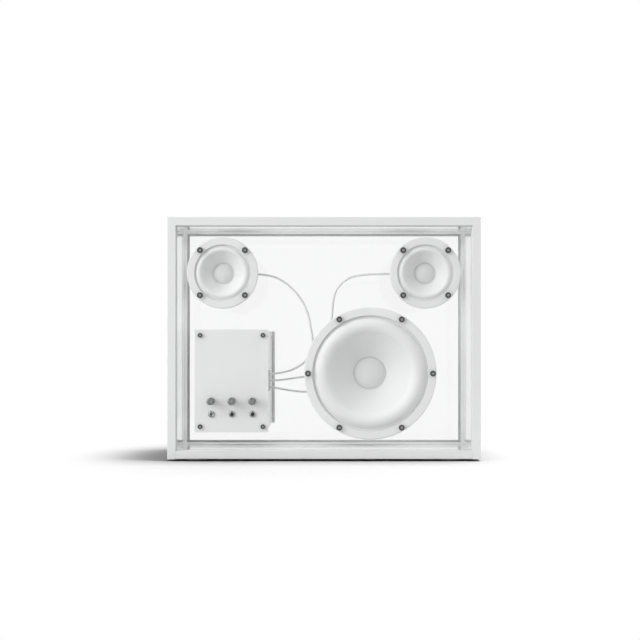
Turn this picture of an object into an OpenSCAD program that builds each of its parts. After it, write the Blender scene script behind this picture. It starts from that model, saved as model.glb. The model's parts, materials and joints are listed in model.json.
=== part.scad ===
// Active loudspeaker: clear front and rear panes in an extruded aluminium frame,
// with one large and two small drive units and an amplifier with three knobs.
// X runs to the right seen from the front, Y from front to back and Z up.

/* [Cabinet] */
// Width of the frame
box_w = 376; // [360:1:420]
// Height of the frame without its feet
box_h = 290.5; // [280:0.5:330]
// Depth of the frame, front face to rear face
box_d = 165; // [150:1:200]
// Thickness of a profile's outer wall
web_t = 6; // [5:0.5:7]
// Height of a profile's lips, the frame's face width
lip_w = 10; // [9.5:0.5:12]
// Thickness of a lip from front to back
lip_t = 4; // [3:0.5:5]
// Height of the inner rib that holds a screw channel, from the outer face
rib_w = 9; // [8.5:0.5:9]
// Thickness of the inner rib from front to back
rib_t = 8; // [7:0.5:10]
// Chamfer on the profiles' outer edges
edge_break = 0.6; // [0.2:0.1:1]

/* [Panes] */
// Thickness of a pane
pane_t = 5; // [4:0.5:6]
// Thickness of the glazing seal on a pane's faces
seal_t = 0.8; // [0.5:0.1:1]
// Thickness of the glazing seal on a pane's edge
seal_edge = 1; // [0.5:0.1:2]
// How far the glazing seal shows past the lips
seal_show = 0.9; // [0.3:0.1:1.5]

/* [Feet] */
// Diameter of a foot
foot_d = 27; // [20:1:35]
// Height of a foot
foot_h = 2.5; // [2:0.5:6]
// Distance of a foot's centre from the side of the frame
foot_inset_x = 34; // [25:1:60]
// Distance of a foot's centre from the front and rear of the frame
foot_inset_y = 26; // [20:1:50]

/* [Large drive unit] */
// Centre's distance from the frame's right side
large_inset_x = 132.4; // [125:0.1:140]
// Centre above the box's centre
large_z = -42.4; // [-45:0.1:-38]
// Outer diameter of the flange
large_flange_d = 158.6; // [146:0.2:160]
// Width of the flange's raised ring
large_ring_w = 9.9; // [9.5:0.1:11]
// Thickness of the flange
large_flange_t = 4.5; // [3.5:0.5:6]
// Distance of the screws from the flange's edge
large_screw_inset = 4.5; // [4:0.1:5]
// Number of screws
large_screws = 6; // [4:1:8]
// How far the flange covers the pane
large_cover = 9.3; // [8.5:0.1:10]
// Wall of the basket
large_wall = 2.8; // [2:0.1:3.5]
// Depth of the basket from the pane's face
large_basket_depth = 44; // [42:1:50]
// Depth of the shelf that holds the spider
large_shelf_depth = 32; // [31:0.5:34]
// Outer diameter of the basket's motor seat
large_seat_d = 92; // [88:1:100]
// Width of the surround's roll
large_roll_w = 20; // [16:0.5:22]
// Height of the surround's roll
large_roll_h = 7; // [4:0.5:8]
// Thickness of the surround
large_surround_t = 0.6; // [0.4:0.1:1]
// Thickness of the cone
large_cone_t = 0.5; // [0.4:0.1:0.8]
// Depth of the cone's neck from the pane's face
large_cone_depth = 24; // [20:0.5:25]
// Diameter of the dust cap
large_cap_d = 38; // [35:0.2:44]
// Height of the dust cap's dome
large_cap_h = 6.5; // [4:0.5:8]
// Inner diameter of the voice coil
large_coil_d = 32; // [25:0.5:33]
// Height of the coil's winding
large_winding_h = 11; // [8:0.5:12]
// Diameter of the magnet
large_magnet_d = 90; // [80:1:100]
// Thickness of the magnet
large_magnet_t = 15; // [14:1:20]
// Thickness of the top plate and of the yoke's plate
large_plate_t = 5; // [4:0.5:8]
// Number of legs in the basket
large_legs = 6; // [4:1:8]

/* [Small drive units] */
// Centres' distance from the frame's sides
small_inset_x = 66.3; // [62:0.1:72]
// Centres above the box's centre
small_z = 78.3; // [74:0.1:80]
// Outer diameter of the flange
small_flange_d = 85.6; // [80:0.2:88]
// Width of the flange's raised ring
small_ring_w = 9.1; // [8.8:0.1:10]
// Thickness of the flange
small_flange_t = 3.5; // [3:0.5:5]
// Distance of the screws from the flange's edge
small_screw_inset = 4.7; // [4.2:0.1:5.2]
// Number of screws
small_screws = 4; // [3:1:6]
// How far the flange covers the pane
small_cover = 9.6; // [9:0.1:10]
// Wall of the basket
small_wall = 2.2; // [1.8:0.1:2.4]
// Depth of the basket from the pane's face
small_basket_depth = 25; // [24:0.5:28]
// Depth of the shelf that holds the spider
small_shelf_depth = 17; // [16.5:0.5:18]
// Outer diameter of the basket's motor seat
small_seat_d = 48; // [46:0.5:52]
// Width of the surround's roll
small_roll_w = 7; // [5:0.5:8]
// Height of the surround's roll
small_roll_h = 3; // [2:0.5:3.5]
// Thickness of the surround
small_surround_t = 0.45; // [0.3:0.05:0.6]
// Thickness of the cone
small_cone_t = 0.4; // [0.3:0.05:0.6]
// Depth of the cone's neck from the pane's face
small_cone_depth = 12; // [9:0.5:12.5]
// Diameter of the dust cap
small_cap_d = 24.4; // [23:0.2:27]
// Height of the dust cap's dome
small_cap_h = 4.2; // [3:0.1:5]
// Inner diameter of the voice coil
small_coil_d = 20; // [16:0.5:20.5]
// Height of the coil's winding
small_winding_h = 7; // [5:0.5:8]
// Diameter of the magnet
small_magnet_d = 50; // [44:1:60]
// Thickness of the magnet
small_magnet_t = 10; // [9:1:14]
// Thickness of the top plate and of the yoke's plate
small_plate_t = 4; // [3:0.5:5]
// Number of legs in the basket
small_legs = 4; // [3:1:6]

/* [Drive unit details] */
// Thickness of the gasket behind a flange
gasket_t = 1; // [0.5:0.1:2]
// Radial play between a basket's rim and the hole in the pane
rim_play = 0.6; // [0.3:0.1:1]
// Depth of the collar that runs back from the flange through the pane
collar_h = 8; // [7:0.5:10]
// Height of the surround's ledge above the gasket
ledge_h = 0.5; // [0.2:0.1:1.5]
// Thickness of the surround's ledge
ledge_t = 2.5; // [2:0.1:3]
// Width of the surround's outer landing
landing_w = 2; // [1.5:0.1:3]
// Width of the surround's inner landing on the cone
inner_landing_w = 1.8; // [1.2:0.1:2.5]
// Thickness of the basket's floor and of its spider shelf
floor_t = 2.5; // [2:0.1:3]
// Width of the spider shelf inside the basket's wall
shelf_w = 5.5; // [3:0.5:6]
// Share of the space between two legs that is open
window_share = 0.66; // [0.4:0.02:0.8]
// Thickness of the coil's former
former_t = 0.3; // [0.2:0.05:0.4]
// Thickness of the coil's winding
winding_t = 0.6; // [0.4:0.05:0.7]
// Radial gap between coil and iron
coil_gap = 0.5; // [0.35:0.05:0.6]
// Thickness of a spider
spider_t = 0.5; // [0.3:0.1:0.8]
// Diameter of the vent through a pole piece
vent_d = 9; // [5:0.5:11]
// Direction of the large unit's terminal, in degrees from the right
large_terminal_turn = 200; // [190:1:210]

/* [Fasteners] */
// Diameter of the drive unit screws
screw_d = 4; // [3:0.5:4]
// Diameter of their cylindrical heads
screw_head_d = 7; // [6:0.1:7.2]
// Height of their heads
screw_head_h = 4; // [3:0.1:4.5]
// Width across the flats of their sockets
screw_socket = 3; // [2.5:0.1:3.5]
// Width across the flats of the nuts
nut_af = 7; // [6.5:0.5:8]
// Height of the nuts
nut_h = 4; // [3:0.1:5]
// Diameter of the panel screws
panel_screw_d = 3; // [2.5:0.5:3]
// Diameter of the panel screws' heads
panel_head_d = 5.5; // [5:0.1:6]
// Height of the panel screws' heads
panel_head_h = 3; // [2:0.1:3.5]
// Length of the panel screws under their heads
panel_screw_l = 18; // [15:1:25]
// Diameter of the corner screws' countersunk heads
corner_head_d = 8; // [7:0.1:8.2]
// Length of the corner screws over all
corner_screw_l = 26; // [20:1:32]

/* [Amplifier] */
// Panel centre's distance from the frame's left side
amp_inset_x = 77; // [74:0.5:82]
// Panel centre above the box's centre
amp_z = -51.4; // [-54:0.1:-48]
// Width of the front panel
panel_w = 88.4; // [87:0.2:92]
// Height of the front panel
panel_h = 123.4; // [122.4:0.2:126]
// Thickness of the front panel
panel_t = 3; // [2:0.5:4]
// Corner radius of both panels
panel_r = 1.2; // [0.5:0.1:3]
// Distance between the panel screws, sideways
panel_screw_dx = 75.4; // [74:0.2:76]
// Distance between the panel screws, upwards
panel_screw_dz = 109.6; // [108:0.2:111]
// Width of the housing
housing_w = 85.4; // [85:0.2:86.6]
// Height of the housing
housing_h = 120.4; // [120:0.2:122]
// Wall of the housing
housing_wall = 1.5; // [1.2:0.1:2]
// How far the housing covers the pane round its opening
clamp_w = 2.5; // [1.5:0.5:2.5]
// Width of the back panel
back_panel_w = 92; // [88:0.5:96]
// Thickness of a circuit board
board_t = 1.6; // [1:0.1:2]
// Distance of the upright boards from the housing's side walls
board_inset = 9; // [8:0.5:11]
// Distance of the upright boards from the housing's front end
board_front = 17; // [15:1:22]
// Length of the upright boards from front to back
board_l = 104; // [90:1:112]

/* [Controls] */
// Distance between neighbouring controls
control_pitch = 24.7; // [22:0.1:26]
// Shift of the controls to the right of the panel's centre
control_shift = 0.6; // [-1:0.1:1]
// Knob row above the box's centre
knob_z = -75.4; // [-78:0.1:-72]
// Socket row above the box's centre
socket_z = -91.3; // [-93:0.1:-89]
// Diameter of a knob
knob_d = 8.4; // [8:0.1:12]
// Height of a knob
knob_h = 18; // [14:0.5:20]
// Gap between knob and panel
knob_gap = 0.5; // [0.3:0.1:1]
// Diameter of a knob's shaft
shaft_d = 6; // [4:0.5:6]
// Diameter of the ring nuts on the lower row
ring_nut_d = 7.5; // [7.2:0.1:9]
// Height of the ring nuts
ring_nut_h = 2; // [1:0.1:3]
// Diameter of the threaded sleeves on the lower row
sleeve_d = 6; // [5.5:0.1:6.2]
// Diameter of the jack's bore
jack_bore_d = 3.6; // [3.5:0.05:3.8]
// Diameter of a push button
button_d = 4; // [3:0.1:4.4]
// How far a button stands out of its sleeve
button_proud = 1.6; // [1:0.1:3]
// How far a button travels
button_travel = 0.8; // [0.5:0.1:1]
// Radial clearance of a turning or sliding fit
fit_play = 0.05; // [0.02:0.01:0.1]

/* [Mains inlet] */
// Inlet centre above the amplifier's centre
inlet_dz = -38; // [-42:1:-30]
// Width of the inlet's recess
inlet_w = 17; // [16:0.5:19]
// Height of the inlet's recess
inlet_h = 9; // [8.5:0.5:11]
// Depth of the inlet's recess
inlet_depth = 10; // [8:0.5:12]
// Distance between the two pins
pin_pitch = 8.6; // [8.2:0.1:9]
// Diameter of a pin
pin_d = 2.4; // [2:0.1:2.6]

/* [Leads] */
// Diameter of a lead's jacket
lead_d = 2.2; // [1.6:0.1:2.4]
// Distance between the leads at the terminal block
lead_pitch = 8.4; // [7:0.1:9]
// Terminal block's centre above the box's centre
terminal_z = -52; // [-54:0.5:-50]
// Depth of the leads where they enter the terminal block
terminal_v = 40; // [36:0.5:44]
// Distance from the large drive unit's centre at which the leads turn up or run behind it
lead_turn_r = 69.5; // [68:0.5:72]

/* [Hidden] */

$fn = 96;
cut = 1;
groove_w = pane_t + 2 * seal_t;
pane_v = lip_t + seal_t;
pane_w = box_w - 2 * (web_t + seal_edge);
pane_h = box_h - 2 * (web_t + seal_edge);
rib_v = lip_t + groove_w;
panel_v = pane_v - panel_t;
knob_reach = knob_gap + knob_h - panel_v;
flange_reach = gasket_t + large_flange_t + screw_head_h - pane_v;
front_reach = max(knob_reach, flange_reach, 0);
rear_reach = max(panel_head_h - panel_v, 0);
large_x = box_w / 2 - large_inset_x;
small_x = box_w / 2 - small_inset_x;
amp_x = amp_inset_x - box_w / 2;
front_y = front_reach - (front_reach + box_d + rear_reach) / 2;
centre_z = foot_h + box_h / 2;
screw_play = 0.3;
thread_play = 0.02;
ledge_z = gasket_t + ledge_h;

// A drive unit's sizes, read through the functions below.
large = [
    large_flange_d / 2, large_flange_d / 2 - large_ring_w, large_flange_t,
    large_flange_d / 2 - large_screw_inset, large_screws, 0,
    large_flange_d / 2 - large_cover, large_wall, large_basket_depth,
    large_shelf_depth, large_seat_d / 2, large_roll_w, large_roll_h, large_surround_t,
    large_cone_t, large_cone_depth, large_cap_d / 2, large_cap_h, large_coil_d / 2,
    large_winding_h, large_magnet_d / 2, large_magnet_t, large_plate_t, large_legs, 5
];
small = [
    small_flange_d / 2, small_flange_d / 2 - small_ring_w, small_flange_t,
    small_flange_d / 2 - small_screw_inset, small_screws, 180 / small_screws,
    small_flange_d / 2 - small_cover, small_wall, small_basket_depth,
    small_shelf_depth, small_seat_d / 2, small_roll_w, small_roll_h, small_surround_t,
    small_cone_t, small_cone_depth, small_cap_d / 2, small_cap_h, small_coil_d / 2,
    small_winding_h, small_magnet_d / 2, small_magnet_t, small_plate_t, small_legs, 3
];
function flange_r(d) = d[0];
function recess_r(d) = d[1];
function flange_t(d) = d[2];
function circle_r(d) = d[3];
function screw_count(d) = d[4];
function screw_turn(d) = d[5];
function cutout_r(d) = d[6];
function wall(d) = d[7];
function basket_depth(d) = d[8];
function shelf_depth(d) = d[9];
function seat_r(d) = d[10];
function roll_w(d) = d[11];
function roll_h(d) = d[12];
function surround_t(d) = d[13];
function cone_t(d) = d[14];
function cone_depth(d) = d[15];
function cap_r(d) = d[16];
function cap_h(d) = d[17];
function coil_r(d) = d[18];
function winding_h(d) = d[19];
function magnet_r(d) = d[20];
function magnet_t(d) = d[21];
function plate_t(d) = d[22];
function legs(d) = d[23];
function waves(d) = d[24];

// Radii and heights that follow from a drive unit's sizes, in its own frame:
// its axis is Z, forward is up and the pane's front face is at zero.
function rim_r(d) = cutout_r(d) - rim_play;
function flange_z(d) = gasket_t + flange_t(d);
function roll_out(d) = recess_r(d) - landing_w;
function roll_in(d) = roll_out(d) - roll_w(d);
function cone_r(d) = roll_in(d) - inner_landing_w;
function former_r(d) = coil_r(d) + former_t;
function iron_r(d) = former_r(d) + winding_t + coil_gap;
function shelf_r(d) = seat_r(d) - wall(d) - shelf_w;
function cone_slope(d) = (ledge_z + cone_depth(d)) / (roll_in(d) - former_r(d));
function cone_z(d, r) = ledge_z - cone_slope(d) * (roll_in(d) - r);
function along_slope(d, t) = t * sqrt(1 + cone_slope(d) * cone_slope(d));
function cap_z(d) = cone_z(d, cap_r(d));
function gap_z(d) = -basket_depth(d) - plate_t(d) / 2;
function magnet_z(d) = -basket_depth(d) - plate_t(d);
function yoke_z(d) = magnet_z(d) - magnet_t(d);
function terminal_depth(d) = (shelf_depth(d) + floor_t + basket_depth(d)) / 2;

// Where the three drive units sit on the pane, from the box's centre.
large_at = [large_x, large_z];
left_at = [-small_x, small_z];
right_at = [small_x, small_z];

// Terminals: a block on a flat pad of the basket, with a socket for the lead.
terminal_pad = 1.5;
terminal_w = 13;
terminal_out = 6;
terminal_h = 5;
socket_depth = 3;
socket_play = 0.2;
socket_r = lead_d / 2 + socket_play;
tab_w = 2.8;
tab_t = 0.8;
tab_l = 5;
left_terminal_turn = 0;
right_terminal_turn = 180;

// Amplifier: depths from the frame's front face and inner sizes.
housing_v = pane_v + pane_t;
housing_l = box_d - 2 * housing_v;
opening_w = housing_w - 2 * clamp_w;
opening_h = housing_h - 2 * clamp_w;
inner_w = housing_w - 2 * housing_wall;
inner_h = housing_h - 2 * housing_wall;
boss_r = 3.6;
core_r = panel_screw_d / 2 + thread_play;
rail_t = 1.2;
rail_h = 2.5;
rail_play = 0.2;
board_h = inner_h - 2 * rail_play;
back_v = box_d - pane_v;
upright_v = housing_v + board_front;
block_d = 11;
block_h = 26;
sink_start = 20;
sink_rise = 26;
sink_t = 3;
sink_h = 44;
fin_count = 7;
fin_pitch = 6;
fin_t = 1.6;
fin_h = 16;
choke_d = 14;
choke_pitch = 20;
can_d = 16;
can_h = 24;
can_pitch = 22;
core_w = 34;
inlet_body_w = 22;
inlet_body_h = 14;
inlet_waist = 6.4;
inlet_r = 2;
inner_right = amp_x + inner_w / 2;
inner_left = amp_x - inner_w / 2;

// Controls: the board behind the panel and what is soldered to it.
control_board_w = 62;
control_board_h = 38;
pot_w = 10;
pot_t = 6.5;
bushing_d = 7.5;
bushing_l = 5.5;
bushing_gap = 0.6;
board_v = pane_v + bushing_gap + bushing_l + pot_t;
control_x = amp_x + control_shift;
control_z = (knob_z + socket_z) / 2;
switch_w = 8.5;
jack_depth = 14.5;
button_depth = 9;

// Leads: routes from the terminal block to each unit's terminal, in box coordinates.
lead_exit = inner_right + housing_wall + 2.5;
lead_start = lead_exit - socket_depth;
function terminal_point(d, at, turn, r) = [
    at.x + r * cos(turn), pane_v + terminal_depth(d), at.y + r * sin(turn)
];
function terminal_end_r(d) = seat_r(d) + terminal_pad + terminal_out;
function lead_end(d, at, turn) = [
    terminal_point(d, at, turn, terminal_end_r(d) + 3),
    terminal_point(d, at, turn, terminal_end_r(d) - socket_depth)
];
function lead_begin(row) = [
    [lead_start, terminal_v, terminal_z + row * lead_pitch],
    [lead_exit + 3, terminal_v, terminal_z + row * lead_pitch]
];
function from_x(x, points) = [for (p = points) [x + p.x, p.y, p.z]];
lead_turn_x = large_x - lead_turn_r;
function across(points) = [
    for (p = points) [lead_exit + p.x * (lead_turn_x - lead_exit), p.y, p.z]
];
left_route = concat(
    lead_begin(1),
    across([
        [0.3, 40, -42], [0.55, 38, -38], [0.79, 36, -30], [0.94, 34, -18], [1, 32, -4],
        [0.96, 30, 12], [0.88, 29, 31], [0.71, 28, 49], [0.42, 27, 65], [0.07, 26, 75]
    ]),
    lead_end(small, left_at, left_terminal_turn)
);
right_route = concat(
    lead_begin(0),
    across([[0.3, 40, -51], [0.57, 40, -49], [0.82, 40, -47], [1.02, 40, -42], [1.11, 40, -32]]),
    from_x(large_x, [
        [-61, 39, -19], [-55, 38, -5], [-49, 37, 9], [-46, 36, 26], [-44, 33, 46],
        [-39, 30, 61], [-25, 28, 73], [-8, 27, 77], [12, 26, 78]
    ]),
    lead_end(small, right_at, right_terminal_turn)
);
large_route = concat(
    lead_begin(-1),
    across([[0.32, 41, -63], [0.57, 42, -65], [0.82, 42, -66], [1.08, 43, -65]]),
    lead_end(large, large_at, large_terminal_turn)
);

// General shapes.

module place() {
    translate([0, front_y, centre_z]) children();
}

module at_unit(at) {
    translate([at.x, pane_v, at.y]) rotate([90, 0, 0]) children();
}

module along_y(v, l) {
    translate([0, v + l, 0]) rotate([90, 0, 0]) linear_extrude(l) children();
}

module rounded_rect(w, h, r) {
    square([w - 2 * r, h], center = true);
    square([w, h - 2 * r], center = true);
    for (x = [-1, 1], z = [-1, 1]) {
        translate([x * (w / 2 - r), z * (h / 2 - r)]) circle(r);
    }
}

module slab(x0, x1, y0, y1, z0, z1) {
    translate([x0, y0, z0]) cube([x1 - x0, y1 - y0, z1 - z0]);
}

// A turned ring with its two outer edges chamfered.
module turned_ring(r_in, r_out, z0, z1, c) {
    rotate_extrude() polygon([
        [r_in, z0], [r_out - c, z0], [r_out, z0 + c],
        [r_out, z1 - c], [r_out - c, z1], [r_in, z1]
    ]);
}

module hexagon(af) {
    circle(r = af / sqrt(3), $fn = 6);
}

// A cap screw that points down, with its head resting on zero.
module cap_screw(d, head_d, head_h, l, af) {
    head_break = 0.3;
    difference() {
        union() {
            turned_ring(0, head_d / 2, 0, head_h, head_break);
            translate([0, 0, -l]) cylinder(d = d, h = l + cut / 2);
        }
        translate([0, 0, head_h / 2]) linear_extrude(head_h) hexagon(af);
    }
}

module around(d) {
    for (i = [0 : screw_count(d) - 1]) {
        turn = screw_turn(d) + 360 * i / screw_count(d);
        rotate([0, 0, turn]) translate([circle_r(d), 0, 0]) children();
    }
}

module screw_holes(d, z0, z1) {
    around(d) translate([0, 0, z0]) cylinder(d = screw_d + screw_play, h = z1 - z0);
}

// Frame: one extruded profile, u from the outer face inwards and v from front to back.

module profile() {
    c = edge_break;
    back = box_d;
    polygon([
        [c, 0], [lip_w, 0], [lip_w, lip_t], [web_t, lip_t],
        [web_t, rib_v], [rib_w, rib_v], [rib_w, rib_v + rib_t], [web_t, rib_v + rib_t],
        [web_t, back - rib_v - rib_t], [rib_w, back - rib_v - rib_t],
        [rib_w, back - rib_v], [web_t, back - rib_v],
        [web_t, back - lip_t], [lip_w, back - lip_t], [lip_w, back], [c, back],
        [0, back - c], [0, c]
    ]);
}

module post(side) {
    mirror([side > 0 ? 1 : 0, 0, 0]) {
        translate([-box_w / 2, 0, -box_h / 2]) linear_extrude(box_h) profile();
    }
}

module bar(side) {
    l = box_w - 2 * web_t;
    mirror([0, 0, side > 0 ? 1 : 0]) {
        translate([l / 2, 0, -box_h / 2]) rotate([0, -90, 0]) linear_extrude(l) profile();
    }
}

// Puts its children on each of the four corners' two screw axes, pointing outwards.
module corner_axes(sides, ends) {
    for (side = sides, end = ends, v = [rib_v + rib_t / 2, box_d - rib_v - rib_t / 2]) {
        translate([side * box_w / 2, v, end * (box_h / 2 - rib_w / 2)]) {
            rotate([0, side * 90, 0]) children();
        }
    }
}

module corner_screw(d, head_d, l) {
    sink = (head_d - d) / 2;
    translate([0, 0, -l]) cylinder(d = d, h = l);
    translate([0, 0, -sink]) cylinder(d1 = d, d2 = head_d, h = sink);
}

module frame_post(side) {
    place() difference() {
        post(side);
        corner_axes([side], [-1, 1]) {
            corner_screw(screw_d + screw_play, corner_head_d + screw_play, rib_w + cut);
        }
    }
}

module frame_bar(side) {
    place() difference() {
        bar(side);
        post(-1);
        post(1);
        corner_axes([-1, 1], [side]) {
            translate([0, 0, -corner_screw_l - cut]) {
                cylinder(r = screw_d / 2 + thread_play, h = corner_screw_l);
            }
        }
    }
}

module frame_left() color("whitesmoke") frame_post(-1);
module frame_right() color("whitesmoke") frame_post(1);
module frame_top() color("whitesmoke") frame_bar(1);
module frame_bottom() color("whitesmoke") frame_bar(-1);

module corner_screws() {
    socket_af = 2.5;
    socket_h = 1.6;
    color("silver") place() corner_axes([-1, 1], [-1, 1]) difference() {
        corner_screw(screw_d, corner_head_d, corner_screw_l);
        translate([0, 0, -socket_h]) linear_extrude(socket_h + cut) hexagon(socket_af);
    }
}

// Panes, seals and feet.

module pane(v) {
    slab(-pane_w / 2, pane_w / 2, v, v + pane_t, -pane_h / 2, pane_h / 2);
}

module amp_opening(v) {
    translate([amp_x, 0, amp_z]) along_y(v - cut, pane_t + 2 * cut) {
        rounded_rect(opening_w, opening_h, panel_r);
    }
}

module unit_opening(d, at) {
    at_unit(at) {
        translate([0, 0, -pane_t - cut]) cylinder(r = cutout_r(d), h = pane_t + 2 * cut);
        screw_holes(d, -pane_t - cut, cut);
    }
}

module front_pane() {
    color("white", 0.35) place() difference() {
        pane(pane_v);
        unit_opening(large, large_at);
        unit_opening(small, left_at);
        unit_opening(small, right_at);
        amp_opening(pane_v);
    }
}

module rear_pane() {
    v = box_d - pane_v - pane_t;
    color("white", 0.35) place() difference() {
        pane(v);
        amp_opening(v);
    }
}

module glazing_seal(v) {
    show_w = box_w - 2 * (lip_w + seal_show);
    show_h = box_h - 2 * (lip_w + seal_show);
    out_w = box_w - 2 * web_t;
    out_h = box_h - 2 * web_t;
    difference() {
        slab(-out_w / 2, out_w / 2, v, v + groove_w, -out_h / 2, out_h / 2);
        pane(v + seal_t);
        slab(-show_w / 2, show_w / 2, v - cut, v + groove_w + cut, -show_h / 2, show_h / 2);
    }
}

module glazing_seals() {
    color("gainsboro") place() {
        glazing_seal(lip_t);
        glazing_seal(box_d - lip_t - groove_w);
    }
}

module feet() {
    x = box_w / 2 - foot_inset_x;
    edge = 0.5;
    color("white") place() {
        for (sx = [-1, 1], v = [foot_inset_y, box_d - foot_inset_y]) {
            translate([sx * x, v, -box_h / 2 - foot_h]) {
                turned_ring(0, foot_d / 2, 0, foot_h, edge);
            }
        }
    }
}

// Drive units.

module basket_profile(d) {
    edge = 1.2;
    bevel = 0.4;
    low = seat_r(d);
    under_ledge = ledge_z - ledge_t;
    translate([flange_r(d) - edge, flange_z(d) - edge]) circle(edge);
    polygon([
        [recess_r(d), flange_z(d) - bevel], [recess_r(d) + bevel, flange_z(d)],
        [flange_r(d) - edge, flange_z(d)],
        [flange_r(d), flange_z(d) - edge], [flange_r(d), gasket_t],
        [rim_r(d), gasket_t], [rim_r(d), -collar_h],
        [low, -shelf_depth(d)], [low, -basket_depth(d)],
        [iron_r(d) + 2, -basket_depth(d)], [iron_r(d) + 2, floor_t - basket_depth(d)],
        [low - wall(d), floor_t - basket_depth(d)],
        [low - wall(d), -shelf_depth(d) - floor_t], [shelf_r(d), -shelf_depth(d) - floor_t],
        [shelf_r(d), -shelf_depth(d)], [low - wall(d), -shelf_depth(d)],
        [rim_r(d) - wall(d), -collar_h], [rim_r(d) - wall(d), under_ledge],
        [roll_out(d) - 1, under_ledge], [roll_out(d) - 1, ledge_z], [recess_r(d), ledge_z]
    ]);
}

module basket_windows(d) {
    reach = rim_r(d) + cut;
    half = window_share * 180 / legs(d);
    top = -collar_h - 1;
    bottom = 2 - shelf_depth(d);
    for (i = [0 : legs(d) - 1]) {
        rotate([0, 0, (i + 0.5) * 360 / legs(d)]) translate([0, 0, bottom]) {
            linear_extrude(top - bottom) polygon([
                [0, 0], [reach, -reach * tan(half)], [reach, reach * tan(half)]
            ]);
        }
    }
}

module terminal_frame(d, turn) {
    rotate([0, 0, turn]) translate([seat_r(d), 0, -terminal_depth(d)]) children();
}

module basket(d, turn) {
    difference() {
        union() {
            rotate_extrude() basket_profile(d);
            terminal_frame(d, turn) {
                slab(-wall(d) / 2, terminal_pad, -terminal_w / 2, terminal_w / 2,
                    -terminal_h / 2, terminal_h / 2);
            }
        }
        basket_windows(d);
        screw_holes(d, 0, flange_z(d) + cut);
    }
}

module gasket(d) {
    difference() {
        turned_ring(cutout_r(d), flange_r(d) - 1, 0, gasket_t, 0.1);
        screw_holes(d, -cut, gasket_t + cut);
    }
}

module terminal(d, turn) {
    terminal_frame(d, turn) difference() {
        union() {
            slab(terminal_pad, terminal_pad + terminal_out, -terminal_w / 2, terminal_w / 2,
                -terminal_h / 2, terminal_h / 2);
            for (side = [-1, 1]) {
                translate([terminal_pad + terminal_out - cut, side * terminal_w / 3, 0]) {
                    slab(0, tab_l, -tab_t / 2, tab_t / 2, -tab_w / 2, tab_w / 2);
                }
            }
        }
        translate([terminal_pad + terminal_out - socket_depth - cut / 2, 0, 0]) {
            rotate([0, 90, 0]) cylinder(r = socket_r, h = socket_depth + cut);
        }
    }
}

// The surround: a rolled arch between two flat landings.
module surround(d) {
    t = surround_t(d);
    half = roll_w(d) / 2;
    r = (half * half + roll_h(d) * roll_h(d)) / (2 * roll_h(d));
    mid = roll_in(d) + half;
    edge_play = 0.3;
    rotate_extrude() {
        intersection() {
            translate([mid, ledge_z + roll_h(d) - r]) difference() {
                circle(r);
                circle(r - t);
            }
            translate([mid - half, ledge_z]) square([2 * half, roll_h(d)]);
        }
        translate([roll_out(d) - t, ledge_z]) {
            square([recess_r(d) - edge_play - roll_out(d) + t, t]);
        }
        polygon([
            [cone_r(d), cone_z(d, cone_r(d))], [roll_in(d), ledge_z], [roll_in(d) + t, ledge_z],
            [roll_in(d) + t, ledge_z + t], [roll_in(d), ledge_z + along_slope(d, t)],
            [cone_r(d), cone_z(d, cone_r(d)) + along_slope(d, t)]
        ]);
    }
}

module cone(d) {
    t = along_slope(d, cone_t(d));
    rotate_extrude() polygon([
        [roll_in(d), ledge_z], [former_r(d), -cone_depth(d)],
        [former_r(d), -cone_depth(d) - t], [roll_in(d), ledge_z - t]
    ]);
}

module dust_cap(d) {
    t = 0.5;
    r = (cap_r(d) * cap_r(d) + cap_h(d) * cap_h(d)) / (2 * cap_h(d));
    rotate_extrude() intersection() {
        translate([0, cap_z(d) + cap_h(d) - r]) difference() {
            circle(r);
            circle(r - t);
        }
        translate([0, cap_z(d)]) square([cap_r(d), cap_h(d)]);
    }
}

// The voice coil: a thin former with its winding centred on the top plate.
module voice_coil(d) {
    top = -cone_depth(d) + 1;
    low = gap_z(d) - winding_h(d) / 2;
    high = gap_z(d) + winding_h(d) / 2;
    rotate_extrude() polygon([
        [coil_r(d), low - 1], [former_r(d), low - 1], [former_r(d), low],
        [former_r(d) + winding_t, low], [former_r(d) + winding_t, high],
        [former_r(d), high], [former_r(d), top], [coil_r(d), top]
    ]);
}

// The spider: rolled corrugations between the former and the basket's shelf.
module spider(d) {
    t = spider_t;
    z = t / 2 - shelf_depth(d);
    inner_land = 1.2;
    a = former_r(d) + inner_land;
    b = shelf_r(d) - t;
    r = (b - a) / waves(d) / 2;
    edge_play = 0.4;
    rotate_extrude() {
        for (i = [0 : waves(d) - 1]) {
            up = i % 2 == 0;
            translate([a + r * (2 * i + 1), z]) intersection() {
                difference() {
                    circle(r + t / 2);
                    circle(r - t / 2);
                }
                translate([-2 * r, up ? 0 : -2 * r]) square([4 * r, 2 * r]);
            }
        }
        translate([former_r(d), z - t / 2]) square([inner_land + t / 2, t]);
        translate([b - t / 2, z - t / 2]) {
            square([seat_r(d) - wall(d) - edge_play - b + t / 2, t]);
        }
    }
}

module top_plate(d) {
    edge = 0.5;
    turned_ring(iron_r(d), magnet_r(d) - 3, magnet_z(d), -basket_depth(d), edge);
}

module magnet(d) {
    edge = 1.2;
    turned_ring(iron_r(d) + 4, magnet_r(d), yoke_z(d), magnet_z(d), edge);
}

module yoke(d) {
    edge = 1;
    pole_r = coil_r(d) - coil_gap;
    difference() {
        union() {
            turned_ring(0, magnet_r(d) - 2, yoke_z(d) - plate_t(d), yoke_z(d), edge);
            translate([0, 0, yoke_z(d) - cut]) {
                cylinder(r = pole_r, h = magnet_t(d) + plate_t(d) + cut);
            }
        }
        translate([0, 0, yoke_z(d) - plate_t(d) - cut]) {
            cylinder(d = vent_d, h = magnet_t(d) + 2 * plate_t(d) + 2 * cut);
        }
    }
}

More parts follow.
